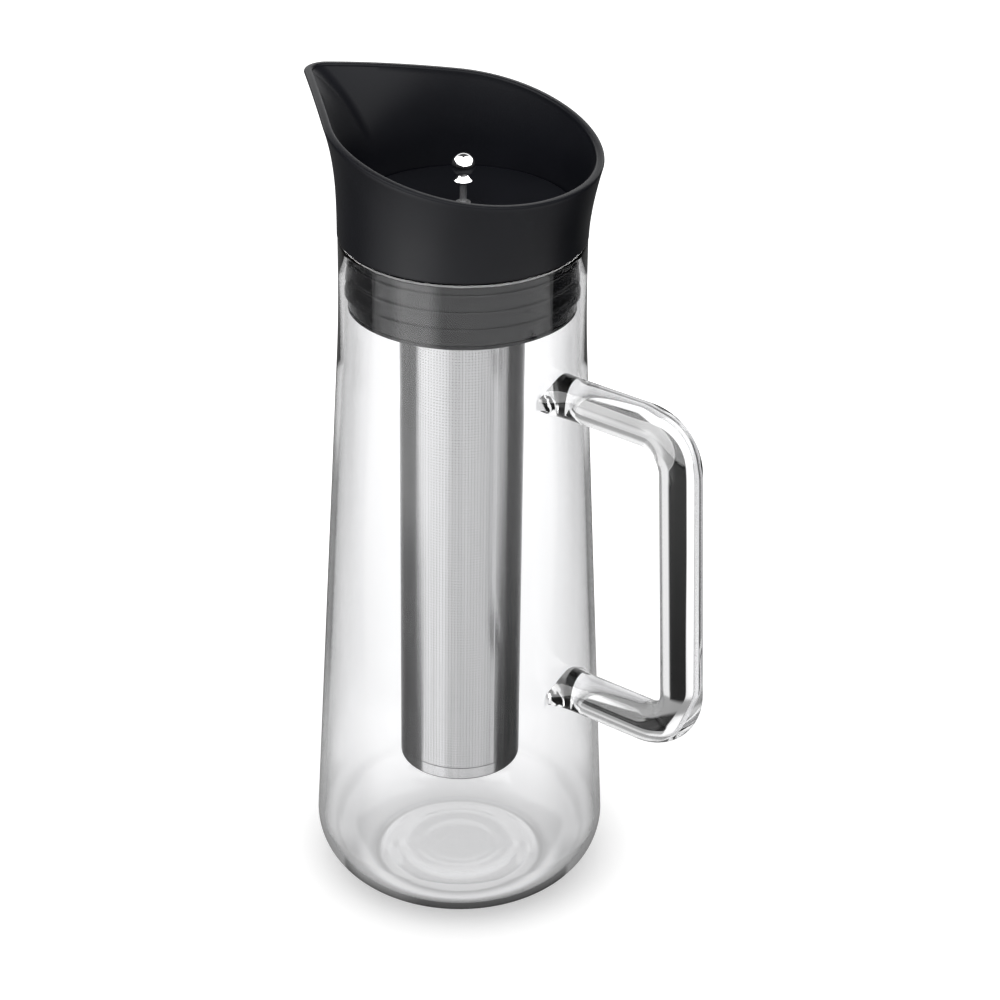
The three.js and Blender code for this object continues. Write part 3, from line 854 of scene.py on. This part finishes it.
def make_insert():
    bead_top = INSERT_BOTTOM + BEAD_HEIGHT
    flange_bottom = INSERT_TOP - FLANGE_THICKNESS
    insert = turned("lid_plug", rounded([
        (INSERT_INNER, INSERT_BOTTOM, 0.4),
        (SLEEVE_RADIUS, INSERT_BOTTOM, 0.5),
        (SLEEVE_RADIUS, bead_top, 0.2),
        (INSERT_OUTER, bead_top, 0.2),
        (INSERT_OUTER, flange_bottom, 0.2),
        (FLANGE_RADIUS, flange_bottom, 0.4),
        (FLANGE_RADIUS, INSERT_TOP, 0.4),
        (INSERT_INNER, INSERT_TOP, 0.4),
    ]))
    socket_top = SOCKET_BOTTOM + SOCKET_HEIGHT
    parts = [ring_of("filter_socket", SOCKET_INNER, SOCKET_OUTER, SOCKET_BOTTOM, socket_top, 0.4)]
    for i in range(SPOKE_COUNT):
        low = (SOCKET_OUTER - SOCKET_WALL / 2, -SPOKE_WIDTH / 2, SOCKET_BOTTOM)
        high = (INSERT_INNER + INSERT_WALL / 2, SPOKE_WIDTH / 2, SOCKET_BOTTOM + SPOKE_HEIGHT)
        spoke = rounded_block("spoke", low, high, 0.4)
        turn = 2 * math.pi * (i + 0.5) / SPOKE_COUNT
        parts.append(move(spoke, Matrix.Rotation(turn, 4, "Z")))
    combine(insert, parts)
    finish_piece(insert, "lid", "black_plastic", "lid_insert")


def make_seal():
    """A sleeve with soft raised lips."""
    corners = [(SEAL_INNER, SEAL_BOTTOM, 0.2), (SLEEVE_RADIUS, SEAL_BOTTOM, 0.3)]
    for i in reversed(range(LIP_COUNT)):
        middle = GLASS_TOP - TOP_LIP_DROP - LIP_PITCH * i
        root_half = LIP_HEIGHT / 2
        tip_half = root_half - LIP_SLOPE
        corners.append((SLEEVE_RADIUS, middle - root_half, 0.12))
        corners.append((LIP_RADIUS, middle - tip_half, 0.25))
        corners.append((LIP_RADIUS, middle + tip_half, 0.25))
        corners.append((SLEEVE_RADIUS, middle + root_half, 0.12))
    corners += [(SLEEVE_RADIUS, SEAL_TOP, 0.3), (SEAL_INNER, SEAL_TOP, 0.2)]
    seal = turned("seal_sleeve", rounded(corners))
    finish_piece(seal, "lid", "silicone", "neck_seal")


# Flap, hinge pin and knob

FLAP_TOP = FLAP_BOTTOM + FLAP_THICKNESS
BOSS_TOP = FLAP_TOP + BOSS_HEIGHT
BALL_CENTRE = BALL_TOP - BALL_RADIUS
STEM_BORE = STEM_RADIUS + SEAT_GAP


def make_flap():
    disc = turned("flap_lid", rounded([
        (STEM_BORE, FLAP_BOTTOM, 0.2),
        (FLAP_RADIUS, FLAP_BOTTOM, 0.5),
        (FLAP_RADIUS, FLAP_TOP, 0.6),
        (BOSS_RADIUS + BOSS_SLOPE, FLAP_TOP, 1),
        (BOSS_RADIUS, BOSS_TOP, 0.6),
        (STEM_BORE, BOSS_TOP, 0.2),
    ]))
    low = (HINGE_X - HINGE_RADIUS, -KNUCKLE_WIDTH / 2, FLAP_TOP - FLAP_THICKNESS / 2)
    high = (HINGE_X + HINGE_RADIUS, KNUCKLE_WIDTH / 2, HINGE_Z)
    web = rounded_block("knuckle_web", low, high, 0.2)
    eye = hinge_bar("knuckle_eye", HINGE_RADIUS, KNUCKLE_WIDTH)
    bore = hinge_bar("knuckle_bore", PIN_RADIUS + SEAT_GAP, KNUCKLE_WIDTH + CUT_OVERRUN, fillet=0.1)
    combine(disc, [web, eye])
    combine(disc, [bore], "DIFFERENCE")
    finish_piece(disc, "flap", "black_plastic", "flap_disc")


def make_ball():
    """A mirror ball on a small flared foot, with a bore for the stem."""
    foot_bottom = BALL_CENTRE - BALL_RADIUS
    bore_top = foot_bottom + STEM_SOCKET + SEAT_GAP
    radius = BALL_RADIUS - KNOB_SHRINK
    centre = BALL_TOP - radius
    waist_angle = math.degrees(math.acos(KNOB_WAIST / radius))
    waist = centre - math.sqrt(radius ** 2 - KNOB_WAIST ** 2)
    foot_top = foot_bottom + KNOB_FOOT_EDGE
    outline = [(0, bore_top), (STEM_BORE, bore_top), (STEM_BORE, foot_bottom)]
    outline += [(KNOB_FOOT - 0.6, foot_bottom), (KNOB_FOOT - 0.1, foot_bottom + 0.15)]
    outline.append((KNOB_FOOT, foot_top))
    flare_steps = 8
    for i in range(1, flare_steps):
        share = i / flare_steps
        radius_here = KNOB_FOOT + (KNOB_WAIST - KNOB_FOOT) * share
        outline.append((radius_here, foot_top + (waist - foot_top) * share ** KNOB_FLARE_POWER))
    outline += arc((0, centre), (radius, radius), -waist_angle, 90, 48)[:-1]
    outline.append((0, BALL_TOP))
    ball = turned("knob", outline, steps=96, sharp_angle=45)
    finish_piece(ball, "flap", "polished_steel", "knob_ball", finish=MIRROR_STEEL)


def make_stem():
    low, high = bottom_of("knob_stem"), top_of("knob_stem")
    stem = move(rounded_bar("knob_rod", high - low, STEM_RADIUS, 0.25), place(0, 0, (high + low) / 2))
    finish_piece(stem, "flap", "polished_steel", "knob_stem")


def make_nut():
    """A hexagon nut with its corners turned down, and a bore for the stem."""
    low, high = bottom_of("knob_nut"), top_of("knob_nut")
    vertices = []
    for z in (low, high):
        for k in range(6):
            angle = math.pi * k / 3
            vertices.append((NUT_RADIUS * math.cos(angle), NUT_RADIUS * math.sin(angle), z))
    faces = [tuple(range(6)), tuple(range(6, 12))]
    faces += [(k, (k + 1) % 6, 6 + (k + 1) % 6, 6 + k) for k in range(6)]
    nut = new_object("stem_nut", vertices, faces)
    face_radius = NUT_RADIUS * NUT_FACE_SHARE
    widest = NUT_RADIUS + 0.3
    cone = turned("nut_cone", [
        (0, low - 1),
        (face_radius, low - 1),
        (face_radius, low),
        (widest, low + NUT_CORNER),
        (widest, high - NUT_CORNER),
        (face_radius, high),
        (face_radius, high + 1),
        (0, high + 1),
    ], steps=64)
    combine(nut, [cone], "INTERSECT")
    bore = move(rounded_bar("nut_bore", (high - low) * 2, STEM_BORE, 0.1), place(0, 0, (low + high) / 2))
    combine(nut, [bore], "DIFFERENCE")
    finish_piece(nut, "flap", "polished_steel", "knob_nut")


def make_pin():
    pin = hinge_bar("hinge_rod", PIN_RADIUS, PIN_LENGTH, fillet=0.2)
    finish_piece(pin, "lid", "polished_steel", "hinge_pin")


# Filter

def make_collar():
    groove_middle = COLLAR_FLANGE_TOP + RING_RISE
    groove_half = RING_RADIUS + SEAT_GAP
    groove_floor = COLLAR_OUTER + RING_PROUD - RING_RADIUS * 2 - SEAT_GAP
    collar = turned("filter_ring", rounded([
        (COLLAR_INNER, INSERT_BOTTOM, 0.4),
        (COLLAR_REACH, INSERT_BOTTOM, 0.5),
        (COLLAR_REACH, COLLAR_FLANGE_TOP, 0.4),
        (COLLAR_OUTER, COLLAR_FLANGE_TOP, 0.3),
        (COLLAR_OUTER, groove_middle - groove_half, 0.15),
        (groove_floor, groove_middle - groove_half, 0.15),
        (groove_floor, groove_middle + groove_half, 0.15),
        (COLLAR_OUTER, groove_middle + groove_half, 0.15),
        (COLLAR_OUTER, FILTER_TOP, 0.5),
        (COLLAR_INNER, FILTER_TOP, 0.4),
    ]))
    finish_piece(collar, "filter", "black_plastic", "filter_collar")

    middle = (COLLAR_OUTER + RING_PROUD - RING_RADIUS, groove_middle)
    ring = turned("o_ring", arc(middle, (RING_RADIUS, RING_RADIUS), 0, 360, 20)[:-1])
    finish_piece(ring, "filter", "silicone", "filter_o_ring")


def make_cap():
    """The drawn cup that closes the filter."""
    fillet = CAP_FILLET
    corners = [
        (0, FILTER_BOTTOM, 0),
        (FILTER_RADIUS, FILTER_BOTTOM, fillet),
        (FILTER_RADIUS, CAP_TOP, 0),
        (FILTER_RADIUS - SHEET, CAP_TOP, 0),
        (FILTER_RADIUS - SHEET, FILTER_BOTTOM + SHEET, fillet - SHEET),
        (0, FILTER_BOTTOM + SHEET, 0),
    ]
    cap = turned("filter_end", rounded(corners, closed=False, steps=8))
    finish_piece(cap, "filter", "filter_steel", "filter_cap")


def sheet_columns():
    """Angles round the perforated sheet, how far each lies back, and which gaps between them hold holes."""
    seam = math.radians(SEAM_ANGLE)
    half_strip = SEAM_WIDTH / 2 / FILTER_RADIUS
    half_groove = SEAM_GROOVE / 2 / FILTER_RADIUS
    pitch = (2 * math.pi - 2 * half_strip) / HOLE_COLUMNS
    angles = [seam - half_groove, seam, seam + half_groove]
    drops = [0, SEAM_DEPTH, 0]
    holed = [False, False, False]
    for i in range(HOLE_COLUMNS):
        start = seam + half_strip + pitch * i
        angles += [start + pitch * (1 - HOLE_SHARE) / 2, start + pitch * (1 + HOLE_SHARE) / 2]
        drops += [0, 0]
        holed += [True, False]
    return angles, drops, holed


def perforated_sheet(name, low, high, rows):
    """A closed sheet round the filter with square holes cut right through it."""
    angles, drops, holed = sheet_columns()
    pitch = (high - low) / rows
    heights = [low]
    for j in range(rows):
        heights += [low + pitch * (j + (1 - HOLE_SHARE) / 2), low + pitch * (j + (1 + HOLE_SHARE) / 2)]
    heights.append(high)
    count, levels = len(angles), len(heights)
    angle = np.array(angles)
    shells = []
    for depth in (0, SHEET):
        radius = FILTER_RADIUS - depth - np.array(drops)
        ring = np.stack([radius * np.cos(angle), radius * np.sin(angle)], axis=1)
        shell = np.empty((levels, count, 3))
        shell[:, :, :2] = ring
        shell[:, :, 2] = np.array(heights)[:, None]
        shells.append(shell.reshape(-1, 3))
    inner_start = levels * count

    def at(level, column, inner=False):
        return level * count + column % count + (inner_start if inner else 0)

    faces = []
    for m in range(levels - 1):
        for k in range(count):
            corners = [(m, k), (m, k + 1), (m + 1, k + 1), (m + 1, k)]
            if holed[k] and m % 2 == 1:
                for first, second in zip(corners, corners[1:] + corners[:1]):
                    faces.append((at(*first), at(*first, True), at(*second, True), at(*second)))
                continue
            faces.append(tuple(at(*corner) for corner in corners))
            faces.append(tuple(at(*corner, True) for corner in reversed(corners)))
    top = levels - 1
    for k in range(count):
        faces.append((at(0, k), at(0, k, True), at(0, k + 1, True), at(0, k + 1)))
        faces.append((at(top, k), at(top, k + 1), at(top, k + 1, True), at(top, k, True)))
    mesh = bpy.data.meshes.new(name)
    mesh.from_pydata((np.concatenate(shells) * MM).tolist(), [], faces)
    soften(mesh, SHARP_ANGLE)
    return link_object(name, mesh)


def make_screen():
    """The perforated tube, in two lengths that meet at a plain row."""
    low, high = bottom_of("filter_tube"), top_of("filter_tube")
    middle = (low + high) / 2
    lower = perforated_sheet("filter_screen_lower", low, middle, HOLE_ROWS // 2)
    finish_piece(lower, "filter", "filter_steel", "filter_tube")
    upper = perforated_sheet("filter_screen_upper", middle, high, HOLE_ROWS // 2)
    finish_piece(upper, "filter", "filter_steel")


make_carafe()
make_funnel()
make_insert()
make_seal()
make_ring("lid_gasket", "lid", "silicone", "funnel_gasket",
          INSERT_INNER + SEAT_GAP, INSERT_OUTER, fillet=0.25)
make_flap()
make_ring("flap_seal", "flap", "silicone", "flap_gasket",
          MOUTH_RADIUS + GASKET_INSET, FLAP_RADIUS - GASKET_INSET, fillet=0.3)
make_ball()
make_stem()
make_ring("washer", "flap", "polished_steel", "knob_washer",
          STEM_BORE, reach_of("knob_washer"), fillet=0.15)
make_nut()
make_pin()
make_collar()
make_ring("filter_band", "filter", "filter_steel", "filter_top_band",
          FILTER_RADIUS - SHEET, FILTER_RADIUS, fillet=0.05)
make_screen()
make_cap()


# Studio

def feed(tree, socket, value):
    """Gives a socket a plain number or a number that other nodes work out."""
    if isinstance(value, Number):
        tree.links.new(value.socket, socket)
    else:
        socket.default_value = value


class Number:
    """A number that a shader tree works out, written in sums as plain numbers are."""

    def __init__(self, tree, socket):
        self.tree = tree
        self.socket = socket

    def maths(self, operation, first, second=0):
        node = self.tree.nodes.new("ShaderNodeMath")
        node.operation = operation
        feed(self.tree, node.inputs[0], first)
        feed(self.tree, node.inputs[1], second)
        return Number(self.tree, node.outputs[0])

    def __add__(self, other):
        return self.maths("ADD", self, other)

    def __sub__(self, other):
        return self.maths("SUBTRACT", self, other)

    def __rsub__(self, other):
        return self.maths("SUBTRACT", other, self)

    def __mul__(self, other):
        return self.maths("MULTIPLY", self, other)

    def over(self, limit):
        """1 above the limit and 0 below it."""
        return self.maths("GREATER_THAN", self, limit)

    def or_more(self, other):
        return self.maths("MAXIMUM", self, other)

    def size(self):
        return self.maths("ABSOLUTE", self)

    def step(self, low, high, before=0, after=1):
        """A soft step between two values, while this number goes from low to high."""
        node = self.tree.nodes.new("ShaderNodeMapRange")
        node.interpolation_type = "SMOOTHSTEP"
        values = {"Value": self, "From Min": low, "From Max": high, "To Min": before, "To Max": after}
        for name, value in values.items():
            feed(self.tree, node.inputs[name], value)
        return Number(self.tree, node.outputs["Result"])

    def mixed(self, first, second):
        """First where this number is 0, second where it is 1."""
        return self.step(0, 1, first, second)


def split(tree, vector):
    """The three numbers of a vector."""
    parts = tree.nodes.new("ShaderNodeSeparateXYZ")
    tree.links.new(vector, parts.inputs[0])
    return [Number(tree, part) for part in parts.outputs]


def studio_axes(x, y):
    """How far a place lies to the right of the studio's middle line, and how far back."""
    sine, cosine = math.sin(CAMERA_AZIMUTH), math.cos(CAMERA_AZIMUTH)
    return x * cosine + y * sine, y * cosine - x * sine


def turn_of(right, ahead):
    """Degrees from straight ahead, positive to the right."""
    return right.maths("ARCTAN2", right, ahead) * math.degrees(1)


def length_of(x, y):
    return x.maths("SQRT", x * x + y * y)


class Rays:
    """What a ray has been through when it reaches the floor or the sky. Each number is 0 or 1."""

    def __init__(self, tree):
        outputs = tree.nodes.new("ShaderNodeLightPath").outputs
        path = {output.name: Number(tree, output) for output in outputs}
        direct = 1 - path["Diffuse Depth"].over(0.5)
        reflections = path["Glossy Depth"]
        faces_crossed = path["Transmission Depth"]
        reflected = reflections.over(0.5)
        seen = path["Is Camera Ray"].or_more(path["Is Transmission Ray"]) * direct
        # It sees the background, straight or through glass
        self.straight = seen * (1 - reflected)
        # It sees the studio as a reflection
        self.glossy = path["Is Glossy Ray"].or_more(seen) * reflected * direct
        # It has gone into glass
        self.entered = faces_crossed.over(0.5)
        # It sees the background through one body of glass, such as the handle's rod
        self.through_rod = self.entered * (1 - faces_crossed.over(2.5)) * self.straight
        # It has gone in through the carafe's wall and out again
        self.inside = faces_crossed.over(3.5)
        # It was reflected more than once, as light is along the glass
        self.piped = reflections.over(1.5) * self.glossy
        # It was mirrored without blur
        self.mirrored = path["Is Singular Ray"] * self.glossy


def wings(rays, turn, off_front, near):
    """Painted dark reflections of the studio floor's sides, lighter close by, and painted reflections of
    what lies behind the object.
    """
    outer = near * (1 - rays.inside)
    left = outer.mixed(off_front.step(*LEFT_WING_TURN), NEAR_LEFT)
    right = outer.mixed(RIGHT_WING, NEAR_RIGHT)
    sides = turn.step(*LEFT_TO_RIGHT).mixed(left, right)
    back = near.mixed(BACK_LIGHT, NEAR_BACK)
    behind_steel = rays.inside * off_front.step(*STEEL_BACK_TURN)
    back = behind_steel.mixed(back, STEEL_BACK_LIGHT)
    return off_front.step(*BACK_TURN).mixed(sides, back)


def front_light(rays, turn, distance):
    """Painted reflections of the floor's light front and a window on its left, as the glass and as the
    steel show them, with painted shade close to the base.
    """
    plain = rays.inside.mixed(distance.step(*GLASS_FRONT), turn.step(*STEEL_FRONT))
    start = rays.inside.mixed(turn.step(*WINDOW_LEFT), turn.step(*STEEL_WINDOW_LEFT))
    strength = rays.inside.mixed(distance.step(*GLASS_WINDOW), distance.step(*STEEL_WINDOW))
    window = start * turn.step(*WINDOW_RIGHT) * strength
    return (plain + window) * distance.step(*UNDER_BASE)


def floor_mirrored(rays, turn, off_front, distance):
    """How bright the floor is in reflections, as painted reflections apart from its glow seen straight."""
    front_end = distance.step(*FRONT_END) + turn.step(*FRONT_LEFT) * distance.step(*FRONT_LEFT_END)
    past_front = (off_front - front_end).step(*FRONT_SOFTNESS)
    sides = wings(rays, turn, off_front, distance.step(*NEAR_FLOOR))
    studio = past_front.mixed(front_light(rays, turn, distance), sides)
    outline = rays.entered * (1 - rays.inside)
    outline = outline * off_front.step(*OUTLINE_TURN) * distance.step(*OUTLINE_START)
    studio = outline.mixed(studio, OUTLINE_LIGHT)
    return rays.piped.mixed(studio, distance.step(*PIPED_START))


def painted_rod_shade(x, y):
    """Where painted shade darkens the floor behind the handle, from 0 to 1. The rod gathers it into its
    dark lines.
    """
    grip_x = (wall_radius(HANDLE_LOWER) + HANDLE_REACH) * MM
    right, back = studio_axes(x - grip_x, y)
    turn = turn_of(right, back)
    distance = length_of(right, back)
    right_end = turn.step(*ZONE_RIGHT)
    near = (turn - distance.step(*ZONE_LEFT)).step(*ZONE_SOFTNESS) * right_end
    near = near * distance.step(*ZONE_START) * distance.step(*ZONE_END)
    far = turn.step(*FAR_ZONE_LEFT) * right_end
    far = far * distance.step(*FAR_ZONE_START) * distance.step(*FAR_ZONE_FADE)
    low = turn.step(*LOW_ZONE) * distance.step(*LOW_ZONE_END)
    return near.or_more(far).or_more(turn.step(*EDGE_ZONE)).or_more(low)


def floor_seen(rays, off_front, sideways, distance):
    """How brightly the floor glows by itself where it is seen, straight or through glass. Close to the base
    the glow is lower, as painted shade, and through glass it has more painted shade towards the sides and
    the front.
    """
    open_glow = distance.step(*OPEN_FLOOR) + distance.step(*FAR_FLOOR)
    glass_glow = distance.step(*FLOOR_IN_GLASS) * (sideways - distance * SIDE_SPREAD).step(*SIDES)
    low_sides = sideways.step(*LOW_SIDES) * distance.step(*LOW_SIDES_END)
    corner = distance.step(*CORNER_START) * off_front.step(*CORNER_TURN)
    glass_glow = glass_glow * low_sides.mixed(1, LOW_SIDE_SHADE) * corner.mixed(1, CORNER_SHADE)
    return rays.entered.mixed(open_glow, glass_glow)


def floor_kept(rays, x, y, distance):
    """The share of the floor's light that painted shade leaves: rings at the foot, a ring at the base's
    edge seen through the rod, and the patches behind the handle seen through the rod.
    """
    foot = distance.step(*FOOT_RING[0]) * distance.step(*FOOT_RING[1])
    edge = distance.step(*EDGE_RING[0]) * distance.step(*EDGE_RING[1]) * rays.through_rod
    zones = painted_rod_shade(x, y) * rays.through_rod
    return (1 - foot * FOOT_SHADE) * (1 - edge * EDGE_SHADE) * (1 - zones)


def make_floor():
    """A pale floor that stays white behind the object and keeps its soft shadow, partly real from the lamp
    and partly painted shade in its glow. Reflections show painted light and shade in it.
    """
    half = FLOOR_HALF
    mesh = bpy.data.meshes.new("studio_floor")
    corners = [(-half, -half, 0), (half, -half, 0), (half, half, 0), (-half, half, 0)]
    mesh.from_pydata(corners, [], [(0, 1, 2, 3)])
    material = bpy.data.materials.new("studio_floor")
    material.use_nodes = True
    material.cycles.emission_sampling = "NONE"
    mesh.materials.append(material)
    tree = material.node_tree
    tree.nodes.clear()
    rays = Rays(tree)
    x, y, _ = split(tree, tree.nodes.new("ShaderNodeTexCoord").outputs["Object"])
    right, back = studio_axes(x, y)
    distance = length_of(x, y)
    turn = turn_of(right, back * -1)
    off_front = turn.size()

    kept = floor_kept(rays, x, y, distance)
    # The glow seen straight or through glass, with the painted shade in it
    white = floor_seen(rays, off_front, right.size(), distance) * kept
    glow = tree.nodes.new("ShaderNodeEmission")
    strength = rays.straight * white + rays.glossy * floor_mirrored(rays, turn, off_front, distance)
    feed(tree, glow.inputs["Strength"], strength)

    pale = tree.nodes.new("ShaderNodeBsdfDiffuse")
    pale.inputs["Color"].default_value = FLOOR_COLOUR
    unlit = tree.nodes.new("ShaderNodeEmission")
    unlit.inputs["Strength"].default_value = 0
    lit = tree.nodes.new("ShaderNodeMixShader")
    feed(tree, lit.inputs[0], rays.glossy.or_more((1 - kept) * rays.straight))
    tree.links.new(pale.outputs[0], lit.inputs[1])
    tree.links.new(unlit.outputs[0], lit.inputs[2])
    both = tree.nodes.new("ShaderNodeAddShader")
    tree.links.new(lit.outputs[0], both.inputs[0])
    tree.links.new(glow.outputs[0], both.inputs[1])
    output = tree.nodes.new("ShaderNodeOutputMaterial")
    tree.links.new(both.outputs[0], output.inputs["Surface"])
    link_object("studio_floor", mesh)


def sky_mirrored(rays, turn, height):
    """How bright the sky is in reflections: a dome over the front, dark sides, and a pale back."""
    off_front = turn.size()
    overhead = rays.entered.mixed(MIRRORED_DOME, ENTERED_DOME)
    sharp_dome = height.step(*SHARP_DOME, HORIZON_LIGHT, overhead)
    soft_dome = height.step(*SOFT_DOME) * turn.step(*DOME_TURN)
    front = rays.mirrored.mixed(soft_dome, sharp_dome)
    sides = turn.step(*LEFT_TO_RIGHT, LEFT_WING, RIGHT_WING)
    sides = (height.step(*SHARP_SIDES) * rays.mirrored).mixed(sides, overhead)
    behind = height.step(*SKY_BEHIND_END).mixed(height.step(*SKY_BEHIND_START), HORIZON_LIGHT)
    back = off_front.step(*SKY_BACK_TURN).mixed(sides, behind)
    dome = off_front.step(*SKY_FRONT_TURN).mixed(front, back)
    return rays.piped.mixed(dome, PIPED_LIGHT)


def make_world():
    """White where it is seen, darker low down through the handle's rod as painted shade, plain grey light
    on the object, and a soft studio in reflections.
    """
    world = bpy.data.worlds.new("studio")
    bpy.context.scene.world = world
    world.use_nodes = True
    world.cycles.sampling_method = "NONE"
    tree = world.node_tree
    tree.nodes.clear()
    rays = Rays(tree)
    x, y, height = split(tree, tree.nodes.new("ShaderNodeTexCoord").outputs["Generated"])
    right, back = studio_axes(x, y)
    turn = turn_of(right, back * -1)
    # Seen through the handle's rod, the sky is darker low down: painted shade
    white = rays.through_rod.mixed(SKY_WHITE, height.step(*SKY_IN_ROD))
    rest = 1 - rays.straight.or_more(rays.glossy)
    strength = rays.straight * white + rays.glossy * sky_mirrored(rays, turn, height) + rest * AMBIENT
    background = tree.nodes.new("ShaderNodeBackground")
    feed(tree, background.inputs["Strength"], strength)
    output = tree.nodes.new("ShaderNodeOutputWorld")
    tree.links.new(background.outputs[0], output.inputs["Surface"])


def direction(turn, elevation):
    """A unit vector, its turn counted in degrees from the studio's front, positive to the right."""
    a = CAMERA_AZIMUTH + math.radians(turn)
    e = math.radians(elevation)
    return Vector((math.sin(a) * math.cos(e), -math.cos(a) * math.cos(e), math.sin(e)))


def make_softbox():
    """One large soft lamp above the front, which isn't seen in reflections."""
    light = bpy.data.lights.new("key_softbox", "AREA")
    light.shape = "SQUARE"
    light.size = KEY_SIZE
    light.energy = KEY_POWER
    lamp = link_object("key_softbox", light)
    away = direction(KEY_TURN, KEY_ELEVATION)
    lamp.location = Vector((0, 0, KEY_TARGET)) + away * KEY_DISTANCE
    lamp.rotation_mode = "QUATERNION"
    lamp.rotation_quaternion = away.to_track_quat("Z", "Y")
    lamp.visible_glossy = False


def turned_towards(first, second, angle):
    """Two axes at right angles, turned by an angle in their plane, the first towards the second."""
    cosine, sine = math.cos(angle), math.sin(angle)
    return first * cosine + second * sine, second * cosine - first * sine


def make_camera():
    ahead = Vector((0, math.cos(CAMERA_PITCH), -math.sin(CAMERA_PITCH)))
    right = Vector((1, 0, 0))
    up = Vector((0, math.sin(CAMERA_PITCH), math.cos(CAMERA_PITCH)))
    ahead, right = turned_towards(ahead, right, CAMERA_YAW)
    right, up = turned_towards(right, up, CAMERA_ROLL)
    around = Matrix.Rotation(CAMERA_AZIMUTH, 4, "Z")
    turn = Matrix((right, up, -ahead)).transposed().to_4x4()
    camera = link_object("camera", bpy.data.cameras.new("camera"))
    camera.data.lens = CAMERA_LENS
    camera.data.sensor_width = CAMERA_SENSOR
    camera.matrix_world = around @ Matrix.Translation((0, -CAMERA_DISTANCE, CAMERA_HEIGHT)) @ turn
    bpy.context.scene.camera = camera


make_floor()
make_world()
make_softbox()
make_camera()
bpy.context.scene.view_settings.view_transform = "Standard"
